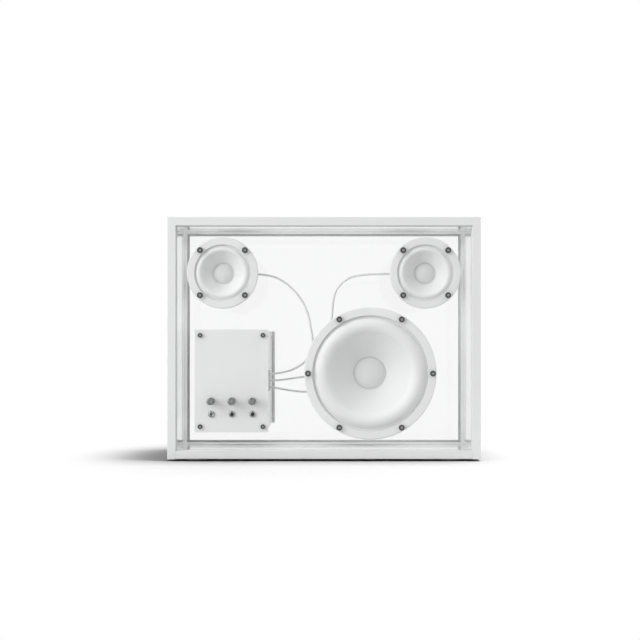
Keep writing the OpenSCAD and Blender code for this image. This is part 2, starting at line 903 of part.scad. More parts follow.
module driver_screws() {
    color("dimgray") place() for (unit = [[large, large_at], [small, left_at], [small, right_at]]) {
        d = unit[0];
        l = flange_z(d) + pane_t + nut_h + 1;
        at_unit(unit[1]) around(d) translate([0, 0, flange_z(d)]) {
            cap_screw(screw_d, screw_head_d, screw_head_h, l, screw_socket);
        }
    }
}

module flanged_nut() {
    washer_t = 1;
    difference() {
        union() {
            translate([0, 0, -washer_t]) cylinder(d = nut_af + 2, h = washer_t);
            translate([0, 0, -nut_h]) linear_extrude(nut_h - washer_t / 2) hexagon(nut_af);
        }
        translate([0, 0, -nut_h - cut]) {
            cylinder(r = screw_d / 2 + thread_play, h = nut_h + 2 * cut);
        }
    }
}

module driver_nuts() {
    color("silver") place() for (unit = [[large, large_at], [small, left_at], [small, right_at]]) {
        at_unit(unit[1]) around(unit[0]) translate([0, 0, -pane_t]) flanged_nut();
    }
}

module driver_gaskets() {
    color("gray") place() {
        at_unit(large_at) gasket(large);
        at_unit(left_at) gasket(small);
        at_unit(right_at) gasket(small);
    }
}

module driver_terminals() {
    color("dimgray") place() {
        at_unit(large_at) terminal(large, large_terminal_turn);
        at_unit(left_at) terminal(small, left_terminal_turn);
        at_unit(right_at) terminal(small, right_terminal_turn);
    }
}

module on_large() place() at_unit(large_at) children();
module on_left() place() at_unit(left_at) children();
module on_right() place() at_unit(right_at) children();

module large_basket() color("whitesmoke") on_large() basket(large, large_terminal_turn);
module large_surround() color("snow") on_large() surround(large);
module large_cone() color("white") on_large() cone(large);
module large_dust_cap() color("white") on_large() dust_cap(large);
module large_voice_coil() color("chocolate") on_large() voice_coil(large);
module large_spider() color("wheat") on_large() spider(large);
module large_top_plate() color("silver") on_large() top_plate(large);
module large_magnet() color("dimgray") on_large() magnet(large);
module large_yoke() color("silver") on_large() yoke(large);

module left_basket() color("whitesmoke") on_left() basket(small, left_terminal_turn);
module left_surround() color("snow") on_left() surround(small);
module left_cone() color("white") on_left() cone(small);
module left_dust_cap() color("white") on_left() dust_cap(small);
module left_voice_coil() color("chocolate") on_left() voice_coil(small);
module left_spider() color("wheat") on_left() spider(small);
module left_top_plate() color("silver") on_left() top_plate(small);
module left_magnet() color("dimgray") on_left() magnet(small);
module left_yoke() color("silver") on_left() yoke(small);

module right_basket() color("whitesmoke") on_right() basket(small, right_terminal_turn);
module right_surround() color("snow") on_right() surround(small);
module right_cone() color("white") on_right() cone(small);
module right_dust_cap() color("white") on_right() dust_cap(small);
module right_voice_coil() color("chocolate") on_right() voice_coil(small);
module right_spider() color("wheat") on_right() spider(small);
module right_top_plate() color("silver") on_right() top_plate(small);
module right_magnet() color("dimgray") on_right() magnet(small);
module right_yoke() color("silver") on_right() yoke(small);

// Amplifier.

module at_amp() {
    place() translate([amp_x, 0, amp_z]) children();
}

module panel_screw_axes() {
    for (x = [-1, 1], z = [-1, 1]) {
        translate([x * panel_screw_dx / 2, z * panel_screw_dz / 2]) children();
    }
}

module control_axes(z, columns) {
    for (i = columns) {
        translate([control_shift + i * control_pitch, z - amp_z]) children();
    }
}

module amp_panel() {
    shaft_hole_d = shaft_d + 2 * screw_play;
    color("lightgray") at_amp() along_y(panel_v, panel_t) difference() {
        rounded_rect(panel_w, panel_h, panel_r);
        panel_screw_axes() circle(d = panel_screw_d + screw_play);
        control_axes(knob_z, [-1, 0, 1]) circle(d = shaft_hole_d);
        control_axes(socket_z, [-1, 0, 1]) circle(d = sleeve_d + 2 * thread_play);
    }
}

module figure_of_eight(w, h, waist) {
    square([w - h, waist], center = true);
    for (x = [-1, 1]) {
        translate([x * (w - h) / 2, 0]) circle(d = h);
    }
}

module amp_back_panel() {
    body_play = 0.2;
    color("dimgray") at_amp() along_y(back_v, panel_t) difference() {
        rounded_rect(back_panel_w, housing_h, panel_r);
        panel_screw_axes() circle(d = panel_screw_d + screw_play);
        translate([0, inlet_dz]) {
            rounded_rect(inlet_body_w + body_play, inlet_body_h + body_play, inlet_r);
        }
    }
}

// The housing's cross-section: a tube with screw channels and rails for two boards.
module housing_section() {
    difference() {
        union() {
            difference() {
                rounded_rect(housing_w, housing_h, panel_r);
                square([inner_w, inner_h], center = true);
            }
            panel_screw_axes() circle(boss_r);
            for (x = [-1, 1], side = [-1, 1], z = [-1, 1]) {
                slot = x * (inner_w / 2 - board_inset);
                offset_x = side * (board_t / 2 + rail_play + rail_t / 2);
                translate([slot + offset_x, z * (inner_h / 2 - rail_h / 2 + cut / 4)]) {
                    square([rail_t, rail_h + cut / 2], center = true);
                }
            }
        }
        panel_screw_axes() circle(core_r);
    }
}

module amp_housing() {
    block_play = 0.2;
    color("gainsboro") place() difference() {
        translate([amp_x, 0, amp_z]) along_y(housing_v, housing_l) housing_section();
        translate([inner_right, terminal_v, terminal_z]) {
            slab(-cut, housing_wall + cut, -block_d / 2 - block_play, block_d / 2 + block_play,
                -block_h / 2 - block_play, block_h / 2 + block_play);
        }
    }
}

module panel_screws() {
    color("dimgray") at_amp() {
        panel_screw_frame(panel_v, 1);
        panel_screw_frame(back_v + panel_t, -1);
    }
}

module panel_screw_frame(v, way) {
    for (x = [-1, 1], z = [-1, 1]) {
        translate([x * panel_screw_dx / 2, v, z * panel_screw_dz / 2]) {
            rotate([way * 90, 0, 0]) {
                cap_screw(panel_screw_d, panel_head_d, panel_head_h, panel_screw_l, 2.5);
            }
        }
    }
}

module control_column(i, z) {
    translate([control_x + i * control_pitch, 0, z]) children();
}

// The control board with its potentiometers, whose bushings carry the knobs' shafts.
module control_board() {
    bore_d = shaft_d + 2 * fit_play;
    pot_v = board_v - pot_t;
    color("seagreen") place() difference() {
        union() {
            slab(control_x - control_board_w / 2, control_x + control_board_w / 2,
                board_v, board_v + board_t,
                control_z - control_board_h / 2, control_z + control_board_h / 2);
            for (i = [-1 : 1]) {
                control_column(i, knob_z) {
                    along_y(pot_v, pot_t + board_t / 2) rounded_rect(pot_w, pot_w, 1);
                    along_y(pot_v - bushing_l, bushing_l + cut) circle(d = bushing_d);
                }
            }
        }
        for (i = [-1 : 1]) {
            control_column(i, knob_z) along_y(pot_v - bushing_l - cut, bushing_l + pot_t) {
                circle(d = bore_d);
            }
        }
    }
}

// A slim knob with a pointer groove, fixed on its potentiometer's shaft.
module knob(i) {
    top_v = panel_v - knob_gap - knob_h;
    edge = 0.5;
    groove_w = 0.7;
    groove_h = 0.5;
    shaft_end = board_v - pot_t + 2;
    color("gray") place() control_column(i, knob_z) {
        difference() {
            translate([0, top_v + knob_h, 0]) rotate([90, 0, 0]) {
                turned_ring(0, knob_d / 2, 0, knob_h, edge);
            }
            slab(-groove_w / 2, groove_w / 2, top_v - cut, top_v + groove_h, 1, knob_d);
        }
        along_y(top_v + knob_h - cut, shaft_end - top_v - knob_h + cut) circle(d = shaft_d);
    }
}

module volume_knob() knob(-1);
module bass_knob() knob(0);
module treble_knob() knob(1);

// A socket or switch on the lower row: a body on the board, a sleeve and its ring nut.
module sleeved_body(i, bore_r, bore_l) {
    nut_v = panel_v - ring_nut_h;
    control_column(i, socket_z) difference() {
        union() {
            along_y(pane_v, board_v - pane_v) {
                rounded_rect(switch_w, switch_w, 0.5);
            }
            along_y(nut_v, pane_v - nut_v + cut) circle(d = sleeve_d);
            along_y(nut_v + 0.3, ring_nut_h - 0.3) circle(d = ring_nut_d);
        }
        along_y(nut_v - cut, bore_l + cut) circle(r = bore_r);
    }
}

module aux_jack() {
    color("silver") place() sleeved_body(-1, jack_bore_d / 2, jack_depth);
}

module button_switches() {
    color("silver") place() {
        sleeved_body(0, button_d / 2 + fit_play, button_depth);
        sleeved_body(1, button_d / 2 + fit_play, button_depth);
    }
}

module button(i) {
    tip_v = panel_v - ring_nut_h - button_proud;
    edge = 0.3;
    stop_gap = 0.2;
    l = button_depth + button_proud - button_travel - stop_gap;
    color("lightgray") place() control_column(i, socket_z) {
        translate([0, tip_v + l, 0]) rotate([90, 0, 0]) {
            turned_ring(0, button_d / 2, 0, l, edge);
        }
    }
}

module pair_button() button(0);
module power_button() button(1);

// Upright boards that slide into the housing's rails.

module upright_board(x) {
    translate([x, upright_v, amp_z]) {
        slab(-board_t / 2, board_t / 2, 0, board_l, -board_h / 2, board_h / 2);
    }
}

module amp_board() {
    x = inner_right - board_inset;
    face = x - board_t / 2;
    sink_v = upright_v + sink_start;
    sink_l = (fin_count - 1) * fin_pitch + fin_t;
    low = amp_z + sink_rise - sink_h / 2;
    color("seagreen") place() {
        upright_board(x);
        slab(face - sink_t, face, sink_v, sink_v + sink_l, low, low + sink_h);
        for (i = [0 : fin_count - 1]) {
            translate([face - sink_t, sink_v + i * fin_pitch, low]) {
                slab(-fin_h, 0, 0, fin_t, 0, sink_h);
            }
        }
        for (i = [0 : 1], k = [0 : 1]) {
            translate([face - choke_d, sink_v + (i + 0.5) * choke_pitch,
                amp_z - (k + 1) * choke_pitch]) {
                rotate([0, 90, 0]) cylinder(d = choke_d, h = choke_d);
            }
        }
    }
}

module supply_board() {
    x = inner_left + board_inset;
    face = x + board_t / 2;
    core_v = upright_v + 2 * can_pitch;
    color("seagreen") place() {
        upright_board(x);
        slab(face, face + can_h, core_v, core_v + core_w, amp_z, amp_z + core_w);
        slab(face, face + can_h / 2, core_v, core_v + core_w, amp_z - core_w, amp_z - core_w / 2);
        for (i = [-1 : 1]) {
            translate([face, upright_v + can_d, amp_z + i * can_pitch]) {
                rotate([0, 90, 0]) cylinder(d = can_d, h = can_h);
            }
        }
    }
}

module terminal_block() {
    back = inner_right - board_inset + board_t / 2;
    color("dimgray") place() difference() {
        translate([0, terminal_v, terminal_z]) {
            slab(back, lead_exit, -block_d / 2, block_d / 2, -block_h / 2, block_h / 2);
        }
        for (row = [-1 : 1]) {
            translate([lead_start - cut / 2, terminal_v, terminal_z + row * lead_pitch]) {
                rotate([0, 90, 0]) cylinder(r = socket_r, h = socket_depth + cut);
            }
        }
    }
}

// The mains inlet: a flanged socket with two pins in a figure-of-eight recess.
module mains_inlet() {
    out_v = back_v + panel_t;
    flange_edge = 1.5;
    flange_h = 1.5;
    back_wall = 2;
    mouth_v = out_v + flange_h;
    floor_v = mouth_v - inlet_depth;
    pin_tip = 1.5;
    color("dimgray") at_amp() translate([0, 0, inlet_dz]) {
        difference() {
            union() {
                along_y(floor_v - back_wall, out_v - floor_v + back_wall) {
                    rounded_rect(inlet_body_w, inlet_body_h, inlet_r);
                }
                along_y(out_v, flange_h) {
                    rounded_rect(inlet_body_w + 2 * flange_edge, inlet_body_h + 2 * flange_edge,
                        inlet_r + flange_edge);
                }
            }
            along_y(floor_v, inlet_depth + cut) figure_of_eight(inlet_w, inlet_h, inlet_waist);
        }
        for (side = [-1, 1]) {
            translate([side * pin_pitch / 2, 0, 0]) {
                along_y(floor_v - cut, inlet_depth - pin_tip + cut) circle(d = pin_d);
            }
        }
    }
}

// Leads: an eight-sided tube swept along a smooth curve through a route's points.

lead_sides = 8;
steps = 2;
function point_at(p, i) = p[min(max(i, 0), len(p) - 1)];
function blend(a, b, c, e, t) = 0.5 * (
    2 * b + (c - a) * t + (2 * a - 5 * b + 4 * c - e) * t * t
    + (3 * b - a - 3 * c + e) * t * t * t
);
function smooth(p) = [
    for (i = [0 : len(p) - 2], k = [0 : steps - 1])
        blend(point_at(p, i - 1), p[i], p[i + 1], point_at(p, i + 2), k / steps),
    p[len(p) - 1]
];
function unit_vector(v) = v / norm(v);
function heading(p, i) = unit_vector(point_at(p, i + 1) - point_at(p, i - 1));
function ring_points(p, i, r) = let (
    t = heading(p, i),
    side = unit_vector(cross(t, [0, 1, 0])),
    up = cross(side, t)
) [
    for (k = [0 : lead_sides - 1])
        let (a = 360 * k / lead_sides) p[i] + r * (cos(a) * side + sin(a) * up)
];

module lead(route) {
    p = smooth(route);
    n = len(p);
    s = lead_sides;
    color("darkgray") place() polyhedron(
        points = [for (i = [0 : n - 1]) each ring_points(p, i, lead_d / 2)],
        faces = concat(
            [[for (k = [0 : s - 1]) k]],
            [[for (k = [0 : s - 1]) n * s - 1 - k]],
            [
                for (i = [0 : n - 2], k = [0 : s - 1])
                    let (a = i * s + k, b = i * s + (k + 1) % s) each [
                        [a, a + s, b], [b, a + s, b + s]
                    ]
            ]
        )
    );
}

module lead_left() lead(left_route);
module lead_right() lead(right_route);
module lead_large() lead(large_route);

frame_left();
frame_right();
frame_top();
frame_bottom();
corner_screws();
front_pane();
rear_pane();
glazing_seals();
feet();
driver_screws();
driver_nuts();
driver_gaskets();
driver_terminals();
large_basket();
large_surround();
large_cone();
large_dust_cap();
large_voice_coil();
large_spider();
large_top_plate();
large_magnet();
large_yoke();
left_basket();
left_surround();
left_cone();
left_dust_cap();
left_voice_coil();
left_spider();
left_top_plate();
left_magnet();
left_yoke();
right_basket();
right_surround();
right_cone();
right_dust_cap();
right_voice_coil();
right_spider();
right_top_plate();
right_magnet();
right_yoke();
amp_panel();
amp_housing();
amp_back_panel();
panel_screws();
control_board();
amp_board();
supply_board();
volume_knob();
bass_knob();
treble_knob();
aux_jack();
button_switches();
pair_button();
power_button();
terminal_block();
mains_inlet();
lead_left();
lead_right();
lead_large();
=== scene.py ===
"""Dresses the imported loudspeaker: finishes on its solids, finer turned and swept pieces, and the studio.

Lengths in the classes are millimetres, as on a drawing, and become metres where a mesh is placed.
"""

from __future__ import annotations

import functools
import json
import logging
import math
from dataclasses import dataclass, field, replace
from enum import Enum
from typing import Callable, Iterable, Sequence, Union

import bmesh
import bpy
from bpy.types import ID, ColorRamp, Material, Mesh, Node, NodeSocket, NodeTree, Object, World
from mathutils import Matrix, Vector

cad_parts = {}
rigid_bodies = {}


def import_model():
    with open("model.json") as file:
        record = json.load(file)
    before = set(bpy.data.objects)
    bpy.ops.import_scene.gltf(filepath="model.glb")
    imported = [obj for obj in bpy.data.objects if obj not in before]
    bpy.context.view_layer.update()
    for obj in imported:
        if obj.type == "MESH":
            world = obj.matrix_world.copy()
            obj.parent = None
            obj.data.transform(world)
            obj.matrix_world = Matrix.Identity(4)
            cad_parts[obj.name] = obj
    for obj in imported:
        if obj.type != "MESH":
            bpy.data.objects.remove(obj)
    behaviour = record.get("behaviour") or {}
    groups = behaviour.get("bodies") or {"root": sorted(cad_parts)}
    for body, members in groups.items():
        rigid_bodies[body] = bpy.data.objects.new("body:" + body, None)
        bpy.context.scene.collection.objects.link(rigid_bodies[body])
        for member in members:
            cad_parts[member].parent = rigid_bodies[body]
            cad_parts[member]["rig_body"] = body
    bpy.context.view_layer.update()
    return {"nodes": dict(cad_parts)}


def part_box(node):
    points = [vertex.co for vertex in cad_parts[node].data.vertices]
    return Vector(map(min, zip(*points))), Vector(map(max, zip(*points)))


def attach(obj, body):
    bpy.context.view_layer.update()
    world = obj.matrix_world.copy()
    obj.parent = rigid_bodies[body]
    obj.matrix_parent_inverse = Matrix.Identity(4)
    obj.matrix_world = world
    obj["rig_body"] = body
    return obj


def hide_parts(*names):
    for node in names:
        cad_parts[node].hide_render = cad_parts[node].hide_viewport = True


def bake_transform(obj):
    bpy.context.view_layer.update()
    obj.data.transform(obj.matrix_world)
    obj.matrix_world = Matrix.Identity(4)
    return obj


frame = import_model()

log = logging.getLogger("loudspeaker")

MM = 0.001
ROOT = "cabinet"
# Name of the mesh attribute that marks where the painted glint goes.
PAINTED_GLINT = "painted_glint"

# Distances in metres: points closer than these are joined, or their specks of faces dropped.
SEAM = 1e-6
WELD = 2e-6
SPECK = 1e-7

# Angles in degrees: faces that meet at less are flat or smooth, and at more they keep an edge.
FLAT_ANGLE = 1.0
SOFTENED_ANGLE = 40.0
TURNED_ANGLE = 32.0
FASTENER_ANGLE = 28.0

Colour = tuple[float, float, float]
Point = tuple[float, float, float]
Pair = tuple[float, float]
Outline = list[Pair]


class Axis(Enum):
    """An axis of the row frame."""

    X = 0
    Y = 1
    Z = 2


# Node trees.


class Value:
    """A number on a socket: its operators add Math nodes to the same tree."""

    def __init__(self, graph: Graph, socket: NodeSocket) -> None:
        """Wraps an output socket of a graph."""
        self.graph = graph
        self.socket = socket

    def math(self, operation: str, *others: Operand) -> Value:
        """Adds a Math node with this value first.

        Args:
            operation: the Math node's operation.
            others: the further operands.

        Returns:
            The node's result.
        """
        return self.graph.value("ShaderNodeMath", dict(enumerate((self, *others))), operation=operation)

    def flipped(self, operation: str, other: Operand) -> Value:
        """Adds a Math node with this value second."""
        return self.graph.value("ShaderNodeMath", {0: other, 1: self}, operation=operation)

    def __add__(self, other: Operand) -> Value:
        """self + other."""
        return self.math("ADD", other)

    def __radd__(self, other: Operand) -> Value:
        """other + self."""
        return self.flipped("ADD", other)

    def __sub__(self, other: Operand) -> Value:
        """self - other."""
        return self.math("SUBTRACT", other)

    def __rsub__(self, other: Operand) -> Value:
        """other - self."""
        return self.flipped("SUBTRACT", other)

    def __mul__(self, other: Operand) -> Value:
        """self * other."""
        return self.math("MULTIPLY", other)

    def __rmul__(self, other: Operand) -> Value:
        """other * self."""
        return self.flipped("MULTIPLY", other)

    def __truediv__(self, other: Operand) -> Value:
        """self / other."""
        return self.math("DIVIDE", other)

    def __rtruediv__(self, other: Operand) -> Value:
        """other / self."""
        return self.flipped("DIVIDE", other)

    def __pow__(self, other: Operand) -> Value:
        """self ** other."""
        return self.math("POWER", other)

    def __neg__(self) -> Value:
        """-self."""
        return self.math("MULTIPLY", -1.0)


Operand = Union[Value, float, int]


class Graph:
    """Adds nodes to one shader or geometry tree."""

    def __init__(self, tree: NodeTree) -> None:
        """Takes an empty tree."""
        self.tree = tree

    def node(self, kind: str, inputs: dict | None = None, **settings: object) -> Node:
        """Adds one node.

        Args:
            kind: the node's type name.
            inputs: values or links by socket name or number.
            settings: its properties, with "stops" for a ramp's (place, colour) pairs.

        Returns:
            The new node.
        """
        made = self.tree.nodes.new(kind)
        for key, setting in settings.items():
            if key == "stops":
                self._set_stops(made.color_ramp, setting)
            else:
                setattr(made, key, setting)
        for key, given in (inputs or {}).items():
            self.feed(made.inputs[key], given)
        return made

    @staticmethod
    def _set_stops(ramp: ColorRamp, stops: Sequence[tuple[float, Colour]]) -> None:
        """Gives a ramp its stops."""
        while len(ramp.elements) < len(stops):
            ramp.elements.new(0.5)
        for element, (place, colour) in zip(ramp.elements, stops):
            element.position = place
            element.color = (*colour, 1.0)

    def feed(self, socket: NodeSocket, given: object) -> None:
        """Links a value, socket or node to a socket, or sets its default."""
        if isinstance(given, Value):
            given = given.socket
        if isinstance(given, Node):
            given = given.outputs[0]
        if isinstance(given, NodeSocket):
            self.tree.links.new(given, socket)
        else:
            socket.default_value = given

    def value(
        self, kind: str, inputs: dict | None = None, output: int | str = 0, **settings: object
    ) -> Value:
        """Adds a node and returns one of its outputs as a Value."""
        return Value(self, self.node(kind, inputs, **settings).outputs[output])

    def noise(self, place: object, scale: float, detail: float = 2.0) -> Value:
        """Noise over a place, with the scale in waves to the metre."""
        return self.value("ShaderNodeTexNoise", {"Vector": place, "Scale": scale, "Detail": detail})

    def parts(self, vector: object) -> list[Value]:
        """The X, Y and Z of a vector."""
        return [Value(self, part) for part in self.node("ShaderNodeSeparateXYZ", {0: vector}).outputs]

    def vector(self, x: Operand = 0.0, y: Operand = 0.0, z: Operand = 0.0) -> Node:
        """A vector of three numbers."""
        return self.node("ShaderNodeCombineXYZ", {0: x, 1: y, 2: z})

    def place(self) -> NodeSocket:
        """Object coordinates."""
        return self.node("ShaderNodeTexCoord").outputs["Object"]


def emptied(owner: Material | World) -> Graph:
    """Clears the node tree of a material or a world and returns its graph."""
    owner.use_nodes = True
    owner.node_tree.nodes.clear()
    return Graph(owner.node_tree)


# Finishes.


@dataclass(frozen=True)
class Finish:
    """One surface finish: its colour, gloss and the record's slot it belongs to.

    Grain and relief are in millimetres, and clouds, the slow change of colour, in waves to the metre.
    """

    name: str
    slot: str
    colour: Colour
    roughness: float = 0.5
    metallic: float = 0.0
    coat: float = 0.0
    sheen: float = 0.0
    grain: float = 0.4
    relief: float = 0.02
    mottle: float = 0.03
    clouds: float = 14.0
    gloss_change: float = 0.12

    @property
    def fineness(self) -> float:
        """How many grains lie on a metre."""
        return 1 / (self.grain * MM)

    def height(self, graph: Graph, place: NodeSocket) -> Value:
        """The finish's fine relief, from 0 to 1.

        Args:
            graph: the material's graph.
            place: Object coordinates.

        Returns:
            A fine even grain here, and other patterns in the subclasses.
        """
        return graph.noise(place, self.fineness)

    def tint(self, graph: Graph, place: NodeSocket, relief: Value) -> NodeSocket:
        """The finish's colour with its slow variation.

        Args:
            graph: the material's graph.
            place: Object coordinates.
            relief: the fine relief.

        Returns:
            The colour socket.
        """
        share = graph.noise(place, self.clouds, 3.0) * 0.6 + relief * 0.4
        low = tuple(c * (1 - self.mottle) for c in self.colour)
        high = tuple(min(1.0, c * (1 + self.mottle)) for c in self.colour)
        ramp = graph.node("ShaderNodeValToRGB", {"Fac": share}, stops=((0.3, low), (0.7, high)))
        return ramp.outputs["Color"]

    def surface(self, graph: Graph) -> Node:
        """Wires the whole shader and returns its last node."""
        place = graph.place()
        relief = self.height(graph, place)
        bump = graph.node("ShaderNodeBump", {"Strength": 1.0, "Distance": self.relief * MM, "Height": relief})
        return graph.node(
            "ShaderNodeBsdfPrincipled",
            {
                "Base Color": self.tint(graph, place, relief),
                "Roughness": self.roughness + (relief - 0.5) * self.gloss_change,
                "Metallic": self.metallic,
                "Coat Weight": self.coat,
                "Sheen Weight": self.sheen,
                "Normal": bump,
            },
        )


@dataclass(frozen=True)
class DrawnMetal(Finish):
    """Metal with fine lines along one axis, as an extrusion leaves them."""

    along: Axis = Axis.X
    stretch: float = 60.0

    def height(self, graph: Graph, place: NodeSocket) -> Value:
        """Noise that is drawn out along the axis."""
        scale = [self.fineness] * 3
        scale[self.along.value] /= self.stretch
        return graph.noise(graph.node("ShaderNodeMapping", {"Vector": place, "Scale": scale}), 1.0, 3.0)


@dataclass(frozen=True)
class TurnedMetal(Finish):
    """Metal with fine rings round an axis along Y, as a lathe leaves them."""

    centre: Pair = (0.0, 0.0)

    def height(self, graph: Graph, place: NodeSocket) -> Value:
        """Noise over the distance from the axis and the depth."""
        x, z = self.centre
        moved = graph.node("ShaderNodeMapping", {"Vector": place, "Location": (-x, 0.0, -z)})
        across, depth, up = graph.parts(moved)
        radius = (across * across + up * up) ** 0.5
        return graph.noise(graph.vector(radius, depth), self.fineness)


@dataclass(frozen=True)
class Blackened(Finish):
    """Black oxide, with a painted glint: the sockets' floors take a light steel colour that stands in for the
    light caught there.
    """

    glint_colour: Colour = (0.42, 0.423, 0.426)

    def tint(self, graph: Graph, place: NodeSocket, relief: Value) -> NodeSocket:
        """The black, mixed with the painted glint's light steel colour where the mesh's own attribute marks a
        socket's floor.
        """
        painted_glint = graph.node("ShaderNodeAttribute", attribute_name=PAINTED_GLINT).outputs["Fac"]
        black = super().tint(graph, place, relief)
        colours = {0: painted_glint, 6: black, 7: (*self.glint_colour, 1.0)}
        return graph.node("ShaderNodeMix", colours, data_type="RGBA").outputs[2]


@dataclass(frozen=True)
class Woven(Finish):
    """Cloth whose two threads cross in the plane of the panes."""

    fibres: float = 3000.0

    def height(self, graph: Graph, place: NodeSocket) -> Value:
        """Two crossed waves with a little fibre noise."""
        across, _, up = graph.parts(place)
        pitch = 2 * math.pi * self.fineness
        warp, weft = ((part * pitch).math("SINE") for part in (across, up))
        return (warp * weft) * 0.3 + 0.35 + graph.noise(place, self.fibres) * 0.3


@dataclass(frozen=True)
class Wound(Finish):
    """Wire laid in turns along Y."""

    def height(self, graph: Graph, place: NodeSocket) -> Value:
        """One rounded ridge a turn."""
        depth = graph.parts(place)[1]
        return (depth * (math.pi * self.fineness)).math("SINE").math("ABSOLUTE")


@dataclass(frozen=True)
class Fibrous(Finish):
    """Pressed pulp: short fibres of two sizes that lie in all directions."""

    swirls: float = 260.0
    cells: float = 24.0

    def height(self, graph: Graph, place: NodeSocket) -> Value:
        """Warped noise over fine cells."""
        swirled = graph.node("ShaderNodeTexNoise", {"Vector": place, "Scale": self.swirls, "Detail": 4.0})
        inputs = {"Vector": swirled.outputs["Color"], "Scale": self.cells}
        cells = graph.value("ShaderNodeTexVoronoi", inputs, feature="DISTANCE_TO_EDGE")
        return cells * 0.4 + graph.noise(place, self.fineness, 3.0) * 0.6


@dataclass(frozen=True)
class CircuitBoard(Finish):
    """Solder mask over copper tracks, with a lighter green where copper lies below."""

    tracks: float = 60.0
    gap: float = 0.03

    def height(self, graph: Graph, place: NodeSocket) -> Value:
        """Rows of tracks of uneven length."""
        inputs = {"Vector": place, "Scale": self.tracks, "Mortar Size": self.gap, "Mortar Smooth": 0.1}
        return graph.value("ShaderNodeTexBrick", inputs, "Fac", offset=0.37, squash=1.6)


@dataclass(frozen=True)
class ClearPane(Finish):
    """Clear glass: it reflects as much as glass does at each angle and lets the rest pass."""

    haze: float = 0.012
    smears: float = 9.0
    reflectance: float = 0.04
    gloss_change: float = 0.03

    def surface(self, graph: Graph) -> Node:
        """A mirror whose alpha is the glass's reflectance, with a trace of haze."""
        wipes = graph.noise(graph.place(), self.smears, 4.0)
        edge_on = graph.value("ShaderNodeLayerWeight", {"Blend": 0.5}, "Facing")
        mirror = (edge_on**5) * (1 - self.reflectance) + self.reflectance
        return graph.node(
            "ShaderNodeBsdfPrincipled",
            {
                "Base Color": (*self.colour, 1.0),
                "Metallic": 1.0,
                "Roughness": self.roughness + wipes * self.gloss_change,
                "Alpha": mirror + wipes * self.haze,
            },
        )


@functools.cache
def material_of(finish: Finish) -> Material:
    """Builds a finish's material once.

    Args:
        finish: the finish.

    Returns:
        The Blender material.
    """
    material = bpy.data.materials.new(finish.name)
    graph = emptied(material)
    graph.node("ShaderNodeOutputMaterial", {"Surface": finish.surface(graph)})
    return material


WHITE = (0.84, 0.843, 0.846)
SILVER = (0.76, 0.763, 0.766)
PALE = (0.95, 0.952, 0.954)
FRAME_X = DrawnMetal("frame_bars", "frame", SILVER, 0.32, 0.75, 0.3, grain=0.25, relief=0.0006)
FRAME_Z = replace(FRAME_X, name="frame_posts", along=Axis.Z)
# Painted light: the frame's faces inside the box get this paler, glossier copy of the frame's finish, which
# stands in for the strong light falling inside from behind.
FRAME_INSIDE_PAINTED_LIGHT = Finish("frame_inside_painted_light", "frame", PALE, 0.2, 0.85, 0.4, grain=0.6, relief=0.0002, mottle=0.01)
PANE = ClearPane("clear_pane", "pane", (0.64, 0.66, 0.655), 0.01)
SEAL = Finish("glazing_seal", "seal", (0.92, 0.922, 0.924), 0.3, coat=0.8, grain=0.5, relief=0.01)
FOOT = Finish("foot_rubber", "foot", (0.66, 0.665, 0.67), 0.75, grain=0.3, relief=0.03)
POWDER = Finish("basket_powder_coat", "basket", WHITE, 0.45, coat=0.2, grain=0.35)
FOAM = Finish("surround_rubber", "surround", (0.83, 0.833, 0.835), 0.6, sheen=0.15, grain=0.2, relief=0.02)
PULP = Fibrous("cone_pulp", "cone", (0.83, 0.833, 0.835), 0.7, sheen=0.1, grain=0.18, relief=0.03)
CAP = Fibrous("cap_pulp", "cone", (0.8, 0.802, 0.804), 0.7, sheen=0.1, grain=0.18, relief=0.03)
# Partly painted shade: a real bead of glue, coloured a darker grey that paints the shade in the groove round
# the dust cap's edge.
GLUE_AND_SHADE = Finish("cap_glue", "cone", (0.68, 0.683, 0.686), 0.35, coat=0.3, grain=0.8, relief=0.03, mottle=0.08)
COPPER = Wound("coil_wire", "coil", (0.62, 0.3, 0.16), 0.35, 0.9, grain=0.25, relief=0.06)
CLOTH = Woven(
    "spider_cloth", "spider", (0.72, 0.55, 0.26), 0.8, sheen=0.2, grain=0.7, relief=0.15, mottle=0.12
)
FERRITE = Finish("magnet_ferrite", "magnet", (0.05, 0.05, 0.053), 0.55, grain=0.5, relief=0.04, mottle=0.3)
ZINC = Finish("plate_zinc", "plate", (0.56, 0.565, 0.57), 0.35, 0.9, grain=1.2, relief=0.01, mottle=0.12)
STEEL = Finish("bright_steel", "hardware", (0.55, 0.555, 0.56), 0.3, 0.9, grain=0.5, relief=0.01, mottle=0.1)
DARK_STEEL = Blackened(
    "dark_steel", "black_screw", (0.06, 0.061, 0.063), 0.35, 0.4, grain=0.3, relief=0.01, mottle=0.25
)
PLASTIC = Finish("terminal_plastic", "terminal", (0.85, 0.852, 0.854), 0.5, grain=0.25, mottle=0.1)
INLET = Finish("inlet_plastic", "inlet", (0.02, 0.02, 0.021), 0.45, grain=0.25, mottle=0.1)
PANEL = Finish("panel_bead_blast", "panel", (0.83, 0.833, 0.836), 0.5, 0.05, grain=0.15, relief=0.012)
HOUSING = DrawnMetal(
    "housing_extrusion", "housing", WHITE, 0.35, 0.4, 0.3, grain=0.3, relief=0.006, along=Axis.Y
)
BACK = Finish("back_panel_anodised", "back_panel", (0.74, 0.742, 0.745), 0.35, 0.8, grain=0.2, relief=0.012)
MASK = CircuitBoard("solder_mask", "board", (0.02, 0.12, 0.06), 0.35, coat=0.3, relief=0.05, mottle=0.25)
NICKEL = Finish("socket_nickel", "socket", (0.5, 0.505, 0.51), 0.3, 0.9, grain=0.4, relief=0.008, mottle=0.15)
JACKET = Finish("lead_jacket", "lead", PALE, 0.35, coat=0.5, grain=0.3)
